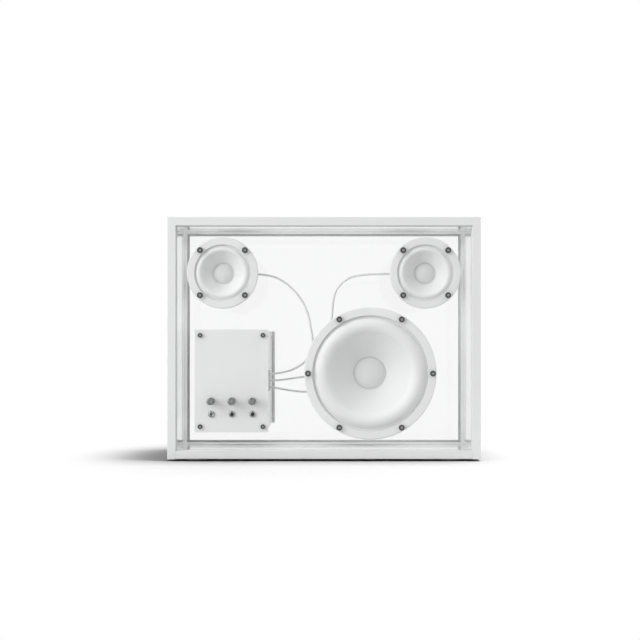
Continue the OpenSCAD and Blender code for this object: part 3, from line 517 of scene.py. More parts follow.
KNOB = TurnedMetal("knob_metal", "knob", (0.2, 0.203, 0.206), 0.42, 0.7, grain=0.35, relief=0.012, mottle=0.1)
BUTTON = replace(KNOB, name="button_metal", slot="button", colour=(0.03, 0.03, 0.031), roughness=0.35)


# Geometry trees.


@dataclass
class GeometryTool:
    """A geometry tree with named inputs, and how a mesh is made with it."""

    name: str
    inputs: dict[str, str]
    wire: Callable[[Graph, Node], NodeSocket]
    tree: NodeTree = field(init=False)
    keys: dict[str, str] = field(init=False, default_factory=dict)

    def __post_init__(self) -> None:
        """Builds the tree, which ends in Realize Instances and Set Material."""
        self.tree = bpy.data.node_groups.new(self.name, "GeometryNodeTree")
        face = self.tree.interface
        face.new_socket("Geometry", in_out="INPUT", socket_type="NodeSocketGeometry")
        face.new_socket("Geometry", in_out="OUTPUT", socket_type="NodeSocketGeometry")
        for name, kind in {**self.inputs, "Material": "Material"}.items():
            socket = face.new_socket(name, in_out="INPUT", socket_type=f"NodeSocket{kind}")
            self.keys[name] = socket.identifier
        graph = Graph(self.tree)
        given = graph.node("NodeGroupInput")
        realized = graph.node("GeometryNodeRealizeInstances", {0: self.wire(graph, given)})
        inputs = {"Geometry": realized, "Material": given.outputs["Material"]}
        graph.node("NodeGroupOutput", {0: graph.node("GeometryNodeSetMaterial", inputs)})

    def mesh(self, base: ID, finish: Finish, **values: object) -> Mesh:
        """Runs the tree on a base and returns the plain mesh.

        Args:
            base: the mesh or curve that the tree starts from.
            finish: the finish of what it makes.
            values: the tree's inputs by name.

        Returns:
            A mesh with no modifier.
        """
        holder = new_object(self.name, base)
        modifier = holder.modifiers.new(self.name, "NODES")
        modifier.node_group = self.tree
        for key, given in {**values, "Material": material_of(finish)}.items():
            modifier[self.keys[key]] = given
        return baked(holder)


def new_object(name: str, data: ID) -> Object:
    """Adds an object to the scene."""
    made = bpy.data.objects.new(name, data)
    bpy.context.scene.collection.objects.link(made)
    return made


def baked(holder: Object) -> Mesh:
    """Bakes an object's modifiers into a plain mesh and takes the object away."""
    depsgraph = bpy.context.evaluated_depsgraph_get()
    made = bpy.data.meshes.new_from_object(holder.evaluated_get(depsgraph))
    holder.modifiers.clear()
    bpy.data.objects.remove(holder)
    return made


def wire_lathe(graph: Graph, given: Node) -> NodeSocket:
    """Turns the base's points, as radius and height, round Z.

    Args:
        graph: the tree's graph.
        given: the tree's inputs: Points and Segments.

    Returns:
        The turned surface, smooth except at its edges.
    """
    points, segments = (Value(graph, given.outputs[name]) for name in ("Points", "Segments"))
    columns = segments + 1
    grid = graph.node("GeometryNodeMeshGrid", {"Vertices X": points + 1, "Vertices Y": columns})
    index = graph.value("GeometryNodeInputIndex")
    nudge = 1e-5
    row = (index / columns + nudge).math("FLOOR")
    turn = (index - row * columns) / segments * (2 * math.pi)
    source = {
        "Geometry": given.outputs["Geometry"],
        "Value": graph.node("GeometryNodeInputPosition"),
        "Index": row.math("MODULO", points),
    }
    sample = graph.node("GeometryNodeSampleIndex", source, data_type="FLOAT_VECTOR", domain="POINT")
    radius, _, height = graph.parts(sample)
    place = graph.vector(radius * turn.math("COSINE"), radius * turn.math("SINE"), height)
    moved = graph.node("GeometryNodeSetPosition", {"Geometry": grid.outputs["Mesh"], "Position": place})
    joined = graph.node("GeometryNodeMergeByDistance", {"Geometry": moved, "Distance": SEAM})
    smooth = {"Geometry": joined, "Shade Smooth": True}
    angle = graph.value("GeometryNodeInputMeshEdgeAngle")
    edges = {
        "Geometry": graph.node("GeometryNodeSetShadeSmooth", smooth, domain="FACE"),
        "Selection": angle.math("GREATER_THAN", math.radians(TURNED_ANGLE)),
        "Shade Smooth": False,
    }
    return graph.node("GeometryNodeSetShadeSmooth", edges, domain="EDGE").outputs[0]


def wire_ring(graph: Graph, given: Node) -> NodeSocket:
    """Sets copies of the base on a circle, each turned to face outwards."""
    count = given.outputs["Count"]
    circle = graph.node("GeometryNodeMeshCircle", {"Vertices": count, "Radius": given.outputs["Radius"]})
    turn = graph.value("GeometryNodeInputIndex") / Value(graph, count) * (2 * math.pi)
    source = {"Points": circle, "Instance": given.outputs["Geometry"], "Rotation": graph.vector(z=turn)}
    start = graph.vector(z=given.outputs["Start"])
    copies = graph.node("GeometryNodeInstanceOnPoints", source)
    return graph.node("GeometryNodeTransform", {"Geometry": copies, "Rotation": start}).outputs[0]


def wire_rectangle(graph: Graph, given: Node) -> NodeSocket:
    """Sets copies of the base on the four corners of a rectangle."""
    sides = {"Size X": given.outputs["Width"], "Size Y": given.outputs["Height"]}
    corners = graph.node("GeometryNodeMeshGrid", {**sides, "Vertices X": 2, "Vertices Y": 2})
    source = {"Points": corners, "Instance": given.outputs["Geometry"]}
    return graph.node("GeometryNodeInstanceOnPoints", source).outputs[0]


def wire_sweep(graph: Graph, given: Node) -> NodeSocket:
    """Sweeps a round section along the base curve."""
    size = {"Resolution": given.outputs["Sides"], "Radius": given.outputs["Radius"]}
    section = graph.node("GeometryNodeCurvePrimitiveCircle", size)
    way = {"Curve": given.outputs["Geometry"], "Profile Curve": section, "Fill Caps": True}
    tube = graph.node("GeometryNodeCurveToMesh", way)
    return graph.node("GeometryNodeSetShadeSmooth", {"Geometry": tube}, domain="FACE").outputs[0]


LATHE = GeometryTool("lathe", {"Points": "Int", "Segments": "Int"}, wire_lathe)
RING = GeometryTool("ring_of_copies", {"Count": "Int", "Radius": "Float", "Start": "Float"}, wire_ring)
RECTANGLE = GeometryTool("rectangle_of_copies", {"Width": "Float", "Height": "Float"}, wire_rectangle)
SWEEP = GeometryTool("swept_tube", {"Radius": "Float", "Sides": "Int"}, wire_sweep)


# Pieces.


def facing(x: float, y: float, z: float, back: bool = False) -> Matrix:
    """Places a piece whose axis is Z so that it looks to the front.

    Args:
        x, y, z: where its origin goes, in metres.
        back: True if it looks to the rear.

    Returns:
        The matrix.
    """
    turn = Matrix.Rotation(math.radians(-90 if back else 90), 4, "X")
    return Matrix.Translation((x, y, z)) @ turn


def add_piece(
    name: str, mesh: Mesh, finish: Finish, body: str | None, replaced: Iterable[str]
) -> Object:
    """Adds a finished mesh to the scene and reports it.

    Args:
        name: the piece's name.
        mesh: its mesh, in place.
        finish: its finish.
        replaced: the CAD nodes that it stands for.

    Returns:
        The object.
    """
    mesh.name = name
    if not mesh.materials:
        mesh.materials.append(material_of(finish))
    piece = new_object(name, mesh)
    if body:
        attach(piece, body)
    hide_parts(*replaced)
    log.info("%s: %d faces, %s", name, len(mesh.polygons), finish.name)
    return piece


def dress(node: str, finish: Finish) -> None:
    """Gives a CAD node its finish."""
    materials = frame["nodes"][node].data.materials
    materials.clear()
    materials.append(material_of(finish))
    log.info("%s: %s", node, finish.name)


def welded(node: str) -> bmesh.types.BMesh:
    """Starts a working mesh from a CAD node with its loose triangles joined."""
    work = bmesh.new()
    work.from_mesh(frame["nodes"][node].data)
    bmesh.ops.remove_doubles(work, verts=work.verts, dist=WELD)
    bmesh.ops.dissolve_degenerate(work, edges=work.edges, dist=SPECK)
    return work


def smooth_mesh(work: bmesh.types.BMesh, name: str, edge_angle: float | None = None) -> Mesh:
    """Turns a working mesh into a smoothly shaded one.

    Args:
        work: the working mesh, which is freed.
        name: the new mesh's name.
        edge_angle: the angle in degrees above which an edge stays sharp, if any does.

    Returns:
        The mesh.
    """
    mesh = bpy.data.meshes.new(name)
    work.to_mesh(mesh)
    work.free()
    mesh.shade_smooth()
    if edge_angle:
        mesh.set_sharp_from_angle(angle=math.radians(edge_angle))
    return mesh


def mark_inside(
    mesh: Mesh, finishes: Sequence[Finish], lip: float = 4.05, wall: float = 1.8
) -> None:
    """Gives a profile's faces between its lips a second finish; for the frame it is a paler copy that paints
    in the light falling inside.

    Args:
        mesh: the profile's mesh.
        finishes: the finish of the outside and that of the inside.
        lip: how deep the outside's finish reaches behind a lip, in millimetres.
        wall: how deep it reaches from the sides.
    """
    low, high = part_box("frame_left")[0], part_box("frame_right")[1]
    for finish in finishes:
        mesh.materials.append(material_of(finish))
    for face in mesh.polygons:
        depth = [min(c - a, b - c) / MM for c, a, b in zip(face.center, low, high)]
        face.material_index = int(depth[1] > lip and min(depth[0], depth[2]) > wall)


def softened_copy(
    node: str, finish: Finish, width: float = 0.35, inside: Finish | None = None
) -> Object:
    """Stands a copy with softened edges in for a CAD node with flat faces.

    Args:
        node: the CAD node.
        finish: its finish.
        width: the width of the rounding in millimetres.
        inside: the finish between the lips, if another; the frame's is a paler copy that paints in light.

    Returns:
        The new piece.
    """
    source = frame["nodes"][node]
    work = welded(node)
    flat, least = math.radians(FLAT_ANGLE), math.radians(SOFTENED_ANGLE)
    bmesh.ops.dissolve_limit(work, angle_limit=flat, verts=work.verts, edges=work.edges)
    sharp = [e for e in work.edges if len(e.link_faces) == 2 and e.calc_face_angle(0.0) > least]
    bmesh.ops.bevel(
        work, geom=sharp, offset=width * MM, segments=2, profile=0.5, affect="EDGES", clamp_overlap=True
    )
    mesh = smooth_mesh(work, node)
    if inside:
        mark_inside(mesh, (finish, inside))
    holder = new_object(node, mesh)
    holder.modifiers.new("flat_faces", "WEIGHTED_NORMAL")
    return add_piece(f"{node}_dressed", baked(holder), finish, source["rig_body"], [node])


def smooth_copy(node: str, finish: Finish, edge_angle: float = 30.0) -> Object:
    """Stands a welded, smoothly shaded copy in for a CAD node with round faces.

    Args:
        node: the CAD node.
        finish: its finish.
        edge_angle: the angle in degrees above which an edge stays sharp.

    Returns:
        The new piece.
    """
    mesh = smooth_mesh(welded(node), node, edge_angle)
    return add_piece(f"{node}_dressed", mesh, finish, frame["nodes"][node]["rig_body"], [node])


def lathe(profile: Outline, finish: Finish, place: Matrix, segments: int = 96) -> Mesh:
    """Turns a closed profile of (radius, height) pairs round its axis.

    Args:
        profile: the outline in millimetres, anticlockwise with the radius to the right.
        finish: the finish.
        place: where the turned mesh goes.
        segments: the number of steps round the axis.

    Returns:
        The mesh, in place, with its faces pointing outwards.
    """
    base = bpy.data.meshes.new("profile")
    base.from_pydata([(r * MM, 0.0, z * MM) for r, z in profile], [], [])
    mesh = LATHE.mesh(base, finish, Points=len(profile), Segments=segments)
    bpy.data.meshes.remove(base)
    work = bmesh.new()
    work.from_mesh(mesh)
    bmesh.ops.dissolve_degenerate(work, edges=work.edges, dist=SPECK)
    bmesh.ops.recalc_face_normals(work, faces=work.faces)
    if work.calc_volume(signed=True) < 0:
        bmesh.ops.reverse_faces(work, faces=work.faces)
    work.to_mesh(mesh)
    work.free()
    mesh.transform(place)
    return mesh


def arc(centre: Pair, radius: float, start: float, end: float, steps: int) -> Outline:
    """Points on an arc, in degrees, both ends included."""
    turns = [math.radians(start + (end - start) * i / steps) for i in range(steps + 1)]
    return [(centre[0] + radius * math.cos(a), centre[1] + radius * math.sin(a)) for a in turns]


def thickened(line: Outline, thickness: float) -> Outline:
    """Closes a line to a strip of even thickness below it.

    Args:
        line: (radius, height) pairs from the inside outwards.
        thickness: how far the second side lies below the first, square to the line.

    Returns:
        The closed outline.
    """
    below = []
    for i, (r, z) in enumerate(line):
        before, after = line[max(i - 1, 0)], line[min(i + 1, len(line) - 1)]
        dr, dz = after[0] - before[0], after[1] - before[1]
        size = math.hypot(dr, dz)
        below.append((r + dz / size * thickness, z - dr / size * thickness))
    return list(below) + list(reversed(line))


def sectors(ring: Mesh, place: Matrix, count: int) -> list[Mesh]:
    """Cuts a turned ring into closed sectors that keep the whole ring's shading.

    Args:
        ring: the ring's mesh, in place.
        place: the ring's own frame.
        count: how many sectors it is cut into, a divisor of its segments.

    Returns:
        One closed mesh a sector.
    """
    home = place.inverted()
    corner = [Vector(n.vector) for n in ring.corner_normals]
    local = [home @ v.co for v in ring.vertices]
    made = []
    step = 2 * math.pi / count
    for number in range(count):
        points: dict[int, int] = {}
        faces, normals, edges = [], [], {}
        for face in ring.polygons:
            middle = sum((local[i] for i in face.vertices), Vector()) / len(face.vertices)
            if int((math.atan2(middle.y, middle.x) % (2 * math.pi)) / step) != number:
                continue
            loop = [points.setdefault(i, len(points)) for i in face.vertices]
            faces.append(loop)
            normals += [corner[i] for i in face.loop_indices]
            for a, b in zip(loop, loop[1:] + loop[:1]):
                edges[(a, b)] = True
        spots = [ring.vertices[i].co for i in points]
        open_edges = {b: a for a, b in edges if (b, a) not in edges}
        while open_edges:
            start, following = open_edges.popitem()
            cap = [start]
            while following != start:
                cap.append(following)
                following = open_edges.pop(following)
            faces.append(cap)
            normals += [normal_of([spots[i] for i in cap])] * len(cap)
        mesh = bpy.data.meshes.new("sector")
        mesh.from_pydata(spots, [], faces)
        mesh.shade_smooth()
        mesh.normals_split_custom_set(normals)
        made.append(mesh)
    return made


def normal_of(loop: Sequence[Vector]) -> Vector:
    """The normal of a closed loop of points."""
    total = Vector()
    for a, b in zip(loop, list(loop[1:]) + [loop[0]]):
        total += a.cross(b)
    return total.normalized() if total.length > 0 else Vector((0, 0, 1))


class Head(Enum):
    """The shape of a fastener's visible end."""

    SOCKET = "socket"
    COUNTERSUNK = "countersunk"
    NUT = "nut"


@dataclass(frozen=True)
class Fastener:
    """One screw or nut, with its axis on Z and its seat at zero.

    The diameter is the thread's, the width is the head's or washer's, and the key is the size across
    the flats.
    """

    head: Head
    diameter: float
    width: float
    key: float
    height: float = 0.0
    length: float = 0.0
    knurl: float = 0.07
    steps: int = 48

    def rings(self) -> list[tuple[Callable[[float], float], float]]:
        """The rings that its surface runs through, as outline and height, up to the socket's floor."""
        r, w, h = self.diameter / 2, self.width / 2, self.height

        def circle(size: float, rough: float = 0.0) -> Callable[[float], float]:
            """A circle, knurled where it is gripped."""
            return lambda turn: size - rough * (round(turn * self.steps / (2 * math.pi)) % 2)

        def six(across: float) -> Callable[[float], float]:
            """A hexagon."""
            sixth = math.pi / 3
            return lambda turn: across / 2 / math.cos((turn % sixth) - sixth / 2)

        if self.head is Head.NUT:
            return [
                (circle(0), -h - 1.0), (circle(r * 0.7), -h - 1.0), (circle(r), -h - 0.5), (circle(r), -h),
                (circle(self.key / 2 * 0.97), -h), (six(self.key), -h + 0.5), (six(self.key), -1.0),
                (circle(w), -1.0), (circle(w), -0.2), (circle(w - 0.2), 0.0), (circle(0), 0.0),
            ]
        tip = -self.length
        point = [(circle(0), tip), (circle(r * 0.75), tip), (circle(r), tip + r * 0.4)]
        outside = {
            Head.COUNTERSUNK: [(circle(r), -(w - r)), (circle(w), 0.0), (circle(w * 0.9), 0.0)],
            Head.SOCKET: [
                (circle(r), 0.0), (circle(w - 0.15), 0.0), (circle(w, self.knurl), 0.3),
                (circle(w, self.knurl), h - 0.7), (circle(w), h - 0.45), (circle(w - 0.13), h - 0.13),
                (circle(w - 0.45), h),
            ],
        }
        depth = self.key * 0.6
        socket = [
            (six(self.key + 0.25), h), (six(self.key), h - 0.12), (six(self.key), h - depth),
            (circle(0), h - depth - self.key * 0.2),
        ]
        return point + outside[self.head] + socket

    def mesh(self) -> Mesh:
        """The fastener's closed mesh in metres."""
        work = bmesh.new()
        painted_glint = work.verts.layers.float.new(PAINTED_GLINT)
        turns = [2 * math.pi * i / self.steps for i in range(self.steps)]
        loops = []
        for radius, height in self.rings():
            spots = [(radius(a) * math.cos(a) * MM, radius(a) * math.sin(a) * MM, height * MM) for a in turns]
            loops.append([work.verts.new(spot) for spot in spots])
        for low, high in zip(loops, loops[1:]):
            for i in range(self.steps):
                k = (i + 1) % self.steps
                work.faces.new((low[i], low[k], high[k], high[i]))
        # Painted glint: the last two rings, the socket's floor, are marked for the light steel colour that
        # stands in for a highlight.
        for vert in (*loops[-2], *loops[-1]):
            vert[painted_glint] = float(self.head is not Head.NUT)
        bmesh.ops.remove_doubles(work, verts=work.verts, dist=SPECK)
        bmesh.ops.recalc_face_normals(work, faces=work.faces)
        return smooth_mesh(work, "fastener", FASTENER_ANGLE)


# Sub-assemblies.


@dataclass
class Cabinet:
    """The frame with its panes, seals, feet and corner screws."""

    corner_screw: Fastener = Fastener(Head.COUNTERSUNK, diameter=4.0, width=8.0, key=2.5, length=26.0)

    def build(self) -> None:
        """Dresses the solids and makes the corner screws."""
        for side, finish in (("top", FRAME_X), ("bottom", FRAME_X), ("left", FRAME_Z), ("right", FRAME_Z)):
            softened_copy(f"frame_{side}", finish, inside=FRAME_INSIDE_PAINTED_LIGHT)
        for node in ("front_pane", "rear_pane"):
            dress(node, PANE)
        dress("glazing_seals", SEAL)
        smooth_copy("feet", FOOT)
        self.add_corner_screws()

    def add_corner_screws(self) -> None:
        """Sets four screws on each side of the frame."""
        low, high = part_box("corner_screws")
        width = self.corner_screw.width * MM
        depth = high.y - low.y - width
        height = high.z - low.z - width
        centre = (low + high) / 2
        for label, side, x in (("left", -1, low.x), ("right", 1, high.x)):
            mesh = RECTANGLE.mesh(self.corner_screw.mesh(), STEEL, Width=depth, Height=height)
            across = Matrix.Rotation(math.radians(90), 4, "Z")
            outward = Matrix.Rotation(math.radians(side * 90), 4, "Y")
            mesh.transform(Matrix.Translation((x, centre.y, centre.z)) @ outward @ across)
            add_piece(f"corner_screws_{label}", mesh, STEEL, ROOT, ["corner_screws"])


@dataclass(frozen=True)
class Span:
    """A round node's outer radius and its two ends along its unit's axis, in millimetres."""

    radius: float
    low: float
    high: float


@dataclass
class DriveUnit:
    """One drive unit: its turned pieces take their radii and depths from its solids.

    Its frame looks to the front from the front side of the pane. Names in _w are widths, in _t
    thicknesses, in _h heights, in _d diameters, in _r radii and in _z places along the axis.
    """

    name: str
    flange_z: float
    screws: int
    screw_start: float
    waves: int
    roll_w: float
    surround_t: float
    cone_t: float
    roll_h: float
    winding_h: float
    ledge: float = 1.5
    pane_t: float = 5.0
    lip: float = 1.8
    roll_foot: float = 0.4
    neck: float = 1.0
    tail: float = 1.0
    corner: float = 0.1
    former_t: float = 0.3
    cap_t: float = 0.5
    glue_r: float = 0.8
    winding_t: float = 0.6
    spider_t: float = 0.5
    spider_land: float = 1.2
    spider_rim: float = 5.6
    screw_w: float = 7.0
    screw_h: float = 4.0
    screw_d: float = 4.0
    screw_inset: float = 4.7
    screw_past: float = 5.0
    surround_sectors: int = 16
    spider_sectors: int = 12

    def __post_init__(self) -> None:
        """Finds the unit's frame and its sizes from its solids."""
        low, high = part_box(f"{self.name}_basket")
        centre = (low + high) / 2
        self.place = facing(centre.x, low.y + self.flange_z * MM, centre.z)
        self.home = self.place.inverted()
        self.body = f"{self.name}_cone_body"
        surround, cone, coil = (self.span(part) for part in ("surround", "cone", "voice_coil"))
        self.roll_in = cone.radius
        self.roll_out = self.roll_in + self.roll_w
        self.rim, self.coil = surround.radius, coil
        self.former_r = coil.radius - self.winding_t
        self.throat = coil.high - self.neck
        self.slope = (self.ledge - self.throat) / (self.roll_in - self.former_r)

    def span(self, part: str) -> Span:
        """Measures one of the unit's round nodes."""
        corners = [self.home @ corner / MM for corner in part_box(f"{self.name}_{part}")]
        depths = sorted(corner.z for corner in corners)
        return Span(abs(corners[0].x), depths[0], depths[1])

    def wall_z(self, radius: float) -> float:
        """The height of the cone's front side at a radius."""
        return self.ledge - self.slope * (self.roll_in - radius)

    def build(self) -> None:
        """Makes and dresses every piece of the unit."""
        smooth_copy(f"{self.name}_basket", POWDER, edge_angle=14.0)
        self.add_ring("surround", self.surround_line(), self.surround_t, FOAM, self.surround_sectors)
        self.add_ring("spider", self.spider_line(), self.spider_t, CLOTH, self.spider_sectors)
        self.add_turned("cone", self.cone_profile(), PULP)
        self.add_turned("dust_cap", self.cap_profile(), CAP)
        self.add_cap_glue()
        self.add_turned("voice_coil", self.coil_profile(), COPPER)
        for part, metal in (("magnet", FERRITE), ("top_plate", ZINC), ("yoke", ZINC)):
            smooth_copy(f"{self.name}_{part}", metal)
        self.add_fasteners()

    def add_turned(self, part: str, profile: Outline, finish: Finish) -> None:
        """Adds one turned piece that moves with the cone."""
        node = f"{self.name}_{part}"
        mesh = lathe(profile, finish, self.place, 128)
        add_piece(f"{node}_turned", mesh, finish, self.body, [node])

    def add_cap_glue(self) -> None:
        """Adds the twelve-sided bead of glue that holds the dust cap on the cone; its darker grey also paints
        the shade in the groove at the cap's edge.
        """
        radius = self.span("dust_cap").radius + self.glue_r * 0.4
        middle = (radius, self.wall_z(radius) + self.glue_r * 0.3)
        bead = lathe(arc(middle, self.glue_r, 0, 330, 11), GLUE_AND_SHADE, self.place)
        add_piece(f"{self.name}_cap_glue", bead, GLUE_AND_SHADE, self.body, [f"{self.name}_dust_cap"])

    def surround_line(self) -> Outline:
        """The surround's upper side: a lip along the cone, the roll and a flat edge."""
        half = self.roll_w / 2
        radius = (half * half + self.roll_h**2) / (2 * self.roll_h)
        middle = (self.roll_in + half, self.ledge + self.roll_h - radius)
        flat = self.ledge + self.surround_t
        rise = self.surround_t * math.hypot(1, self.slope)
        roll = [p for p in arc(middle, radius, 180, 0, 48) if p[1] > flat + self.roll_foot]
        inner = self.roll_in - self.lip
        return [
            (inner, self.wall_z(inner) + rise), (self.roll_in, self.ledge + rise), *roll,
            (self.roll_out - self.corner, flat), (self.rim, flat),
        ]

    def spider_line(self) -> Outline:
        """The spider's upper side: half waves, up and down in turn."""
        outer = self.span("spider")
        start = self.former_r + self.spider_land
        end = outer.radius - self.spider_rim
        radius = (end - start) / self.waves / 2
        top = (outer.low + outer.high + self.spider_t) / 2
        line = [(self.former_r, top)]
        for i in range(self.waves):
            middle = (start + radius * (2 * i + 1), top)
            bow = arc(middle, radius, 180, 0 if i % 2 == 0 else 360, 10)
            line += bow if i == 0 else bow[1:]
        return [*line, (outer.radius, top)]

    def add_ring(self, part: str, line: Outline, thickness: float, finish: Finish, count: int) -> None:
        """Adds a ring in sectors, which lies between the cone and the basket.

        Args:
            part: the piece's name.
            line: its upper side from the inside outwards.
            thickness: its thickness.
            finish: its finish.
            count: the number of sectors.
        """
        node = f"{self.name}_{part}"
        ring = lathe(thickened(line, thickness), finish, self.place, count * 8)
        reach = (line[1][0], line[-2][0])
        for number, mesh in enumerate(sectors(ring, self.place, count)):
            mesh.materials.append(material_of(finish))
            piece = add_piece(f"{node}_{number + 1:02d}", mesh, finish, None, [node])
            turn = 2 * math.pi * (number + 0.5) / count
            spoke = Vector((math.cos(turn), math.sin(turn), 0)) * MM
            start, end = (self.place @ (spoke * r) for r in reach)
            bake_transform(piece)
        bpy.data.meshes.remove(ring)

    def cone_profile(self) -> Outline:
        """The cone's wall."""
        drop = self.cone_t * math.hypot(1, self.slope)
        ends = ((self.former_r, self.throat), (self.roll_in, self.ledge))
        return [(r, z - drop) for r, z in ends] + [(r, z) for r, z in reversed(ends)]

    def cap_profile(self) -> Outline:
        """The dust cap's dome."""
        cap = self.span("dust_cap")
        height = cap.high - cap.low
        radius = (cap.radius**2 + height**2) / (2 * height)
        centre = (0.0, cap.high - radius)
        spread = math.degrees(math.asin(cap.radius / radius))
        thin = radius - self.cap_t
        inner = math.degrees(math.acos((cap.low - centre[1]) / thin))
        return arc(centre, thin, 90, 90 - inner, 20) + arc(centre, radius, 90 - spread, 90, 20)

    def coil_profile(self) -> Outline:
        """The former with its winding."""
        inside, former, outside = self.former_r - self.former_t, self.former_r, self.coil.radius
        low, high = self.coil.low + self.tail, self.coil.low + self.tail + self.winding_h
        cut = self.corner
        return [
            (inside, self.coil.low), (former, self.coil.low), (former, low), (outside - cut, low),
            (outside, low + cut), (outside, high - cut), (outside - cut, high), (former, high),
            (former, self.coil.high), (inside, self.coil.high),
        ]

    def add_fasteners(self) -> None:
        """Sets the flange's screws and their nuts behind the pane."""
        circle = self.span("basket").radius - self.screw_inset
        screw = Fastener(
            Head.SOCKET, diameter=self.screw_d, width=self.screw_w, key=3.0, height=self.screw_h,
            length=self.flange_z + self.pane_t + self.screw_past,
        )
        nut = Fastener(Head.NUT, diameter=self.screw_d, width=9.0, key=7.0, height=4.0)
        values = {"Count": self.screws, "Radius": circle * MM, "Start": math.radians(self.screw_start)}
        for kind, depth, label, finish in (
            (screw, self.flange_z, "screws", DARK_STEEL), (nut, -self.pane_t, "nuts", STEEL)
        ):
            mesh = RING.mesh(kind.mesh(), finish, **values)
            mesh.transform(self.place @ Matrix.Translation((0, 0, depth * MM)))
            add_piece(f"{self.name}_unit_{label}", mesh, finish, ROOT, [f"driver_{label}"])


@dataclass
class Amplifier:
    """The amplifier's housing, panels, controls and inlet."""

    knobs: tuple[str, ...] = ("volume_knob", "bass_knob", "treble_knob")
    buttons: tuple[str, ...] = ("pair_button", "power_button")
    screw: Fastener = Fastener(Head.SOCKET, diameter=3.0, width=5.5, key=2.5, height=3.0, length=18.0)

    def build(self) -> None:
        """Dresses the solids and makes the panel screws."""
        softened_copy("amp_panel", PANEL)
        softened_copy("amp_housing", HOUSING, width=0.2)
        softened_copy("amp_back_panel", BACK)
        for node in ("control_board", "amp_board", "supply_board"):
            dress(node, MASK)
        for node in ("aux_jack", "button_switches"):
            smooth_copy(node, NICKEL)
        smooth_copy("mains_inlet", INLET)
        for metal, nodes in ((KNOB, self.knobs), (BUTTON, self.buttons)):
            for node in nodes:
                low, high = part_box(node)
                centre = (low + high) / 2
                smooth_copy(node, replace(metal, name=f"{node}_metal", centre=(centre.x, centre.z)))
        self.add_panel_screws()

    def add_panel_screws(self) -> None:
        """Sets four screws on each panel."""
        low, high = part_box("panel_screws")
        width, height = (high[i] - low[i] - self.screw.width * MM for i in (Axis.X.value, Axis.Z.value))
        centre = (low + high) / 2
        rise = self.screw.height * MM
        for label, y, back in (("front", low.y + rise, False), ("back", high.y - rise, True)):
            mesh = RECTANGLE.mesh(self.screw.mesh(), DARK_STEEL, Width=width, Height=height)
            mesh.transform(facing(centre.x, y, centre.z, back))
            add_piece(f"panel_screws_{label}", mesh, DARK_STEEL, ROOT, ["panel_screws"])


@dataclass(frozen=True)
class Route:
    """One lead's way from the amplifier to a unit's terminal.

    Points across are (share of the way to the large unit's flank, depth, height), and points beyond
    are (distance from the large unit's axis, depth, height).
    """

    node: str
    unit: DriveUnit
    row: int
    reach: float
    depth: float
    turn: float
    across: Sequence[Point]
    beyond: Sequence[Point] = ()


@dataclass
class Leads:
    """The leads from the amplifier's terminal block to the drive units."""

    large: DriveUnit
    diameter: float = 2.4
    pitch: float = 8.4
    entry_depth: float = 40.0
    entry_height: float = -52.0
    turn_r: float = 69.5
    socket: float = 3.0
    sides: int = 16
    fineness: int = 6

    def build(self, routes: Iterable[Route]) -> None:
        """Sweeps each lead along its route."""
        for route in routes:
            curve = bpy.data.curves.new(route.node, "CURVE")
            curve.dimensions = "3D"
            points = self.smooth(self.spots(route))
            spline = curve.splines.new("POLY")
            spline.points.add(len(points) - 1)
            for spot, point in zip(spline.points, points):
                spot.co = (*point, 1.0)
            mesh = SWEEP.mesh(curve, JACKET, Radius=self.diameter / 2 * MM, Sides=self.sides)
            add_piece(f"{route.node}_swept", mesh, JACKET, ROOT, [route.node])

    def spots(self, route: Route) -> list[Vector]:
        """The points that a lead runs through, in the row frame and in metres."""
        low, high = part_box("frame_left")
        home = Vector((0.0, low.y, (low.z + high.z) / 2))
        exit_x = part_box("terminal_block")[1].x / MM
        axis_x = self.large.place.translation.x / MM
        way = axis_x - self.turn_r - exit_x
        height = self.entry_height + route.row * self.pitch
        begin = [(exit_x + side * self.socket, self.entry_depth, height) for side in (-1, 1)]
        across = [(exit_x + share * way, depth, z) for share, depth, z in route.across]
        beyond = [(axis_x + x, depth, z) for x, depth, z in route.beyond]
        turn = math.radians(route.turn)
        ends = [
            route.unit.place @ (Vector((r * math.cos(turn), r * math.sin(turn), -route.depth)) * MM)
            for r in (route.reach + self.socket, route.reach - self.socket)
        ]
        return [home + Vector(point) * MM for point in (*begin, *across, *beyond)] + ends

    def smooth(self, spots: Sequence[Vector]) -> list[Vector]:
        """Finer points on the smooth curve through the given ones."""
        last = len(spots) - 1
        made = []
        for i in range(last):
            a, b, c, d = (spots[min(max(i + k, 0), last)] for k in (-1, 0, 1, 2))
            square, cube = 2 * a - 5 * b + 4 * c - d, 3 * b - a - 3 * c + d
            for k in range(self.fineness):
                t = k / self.fineness
                made.append(0.5 * (2 * b + (c - a) * t + square * t**2 + cube * t**3))
        return [*made, spots[last]]


@dataclass(frozen=True)
class Lamp:
    """One soft square lamp that looks at the middle of the object."""

    name: str
    place: Point
    size: float
    power: float
    on_floor: bool = False


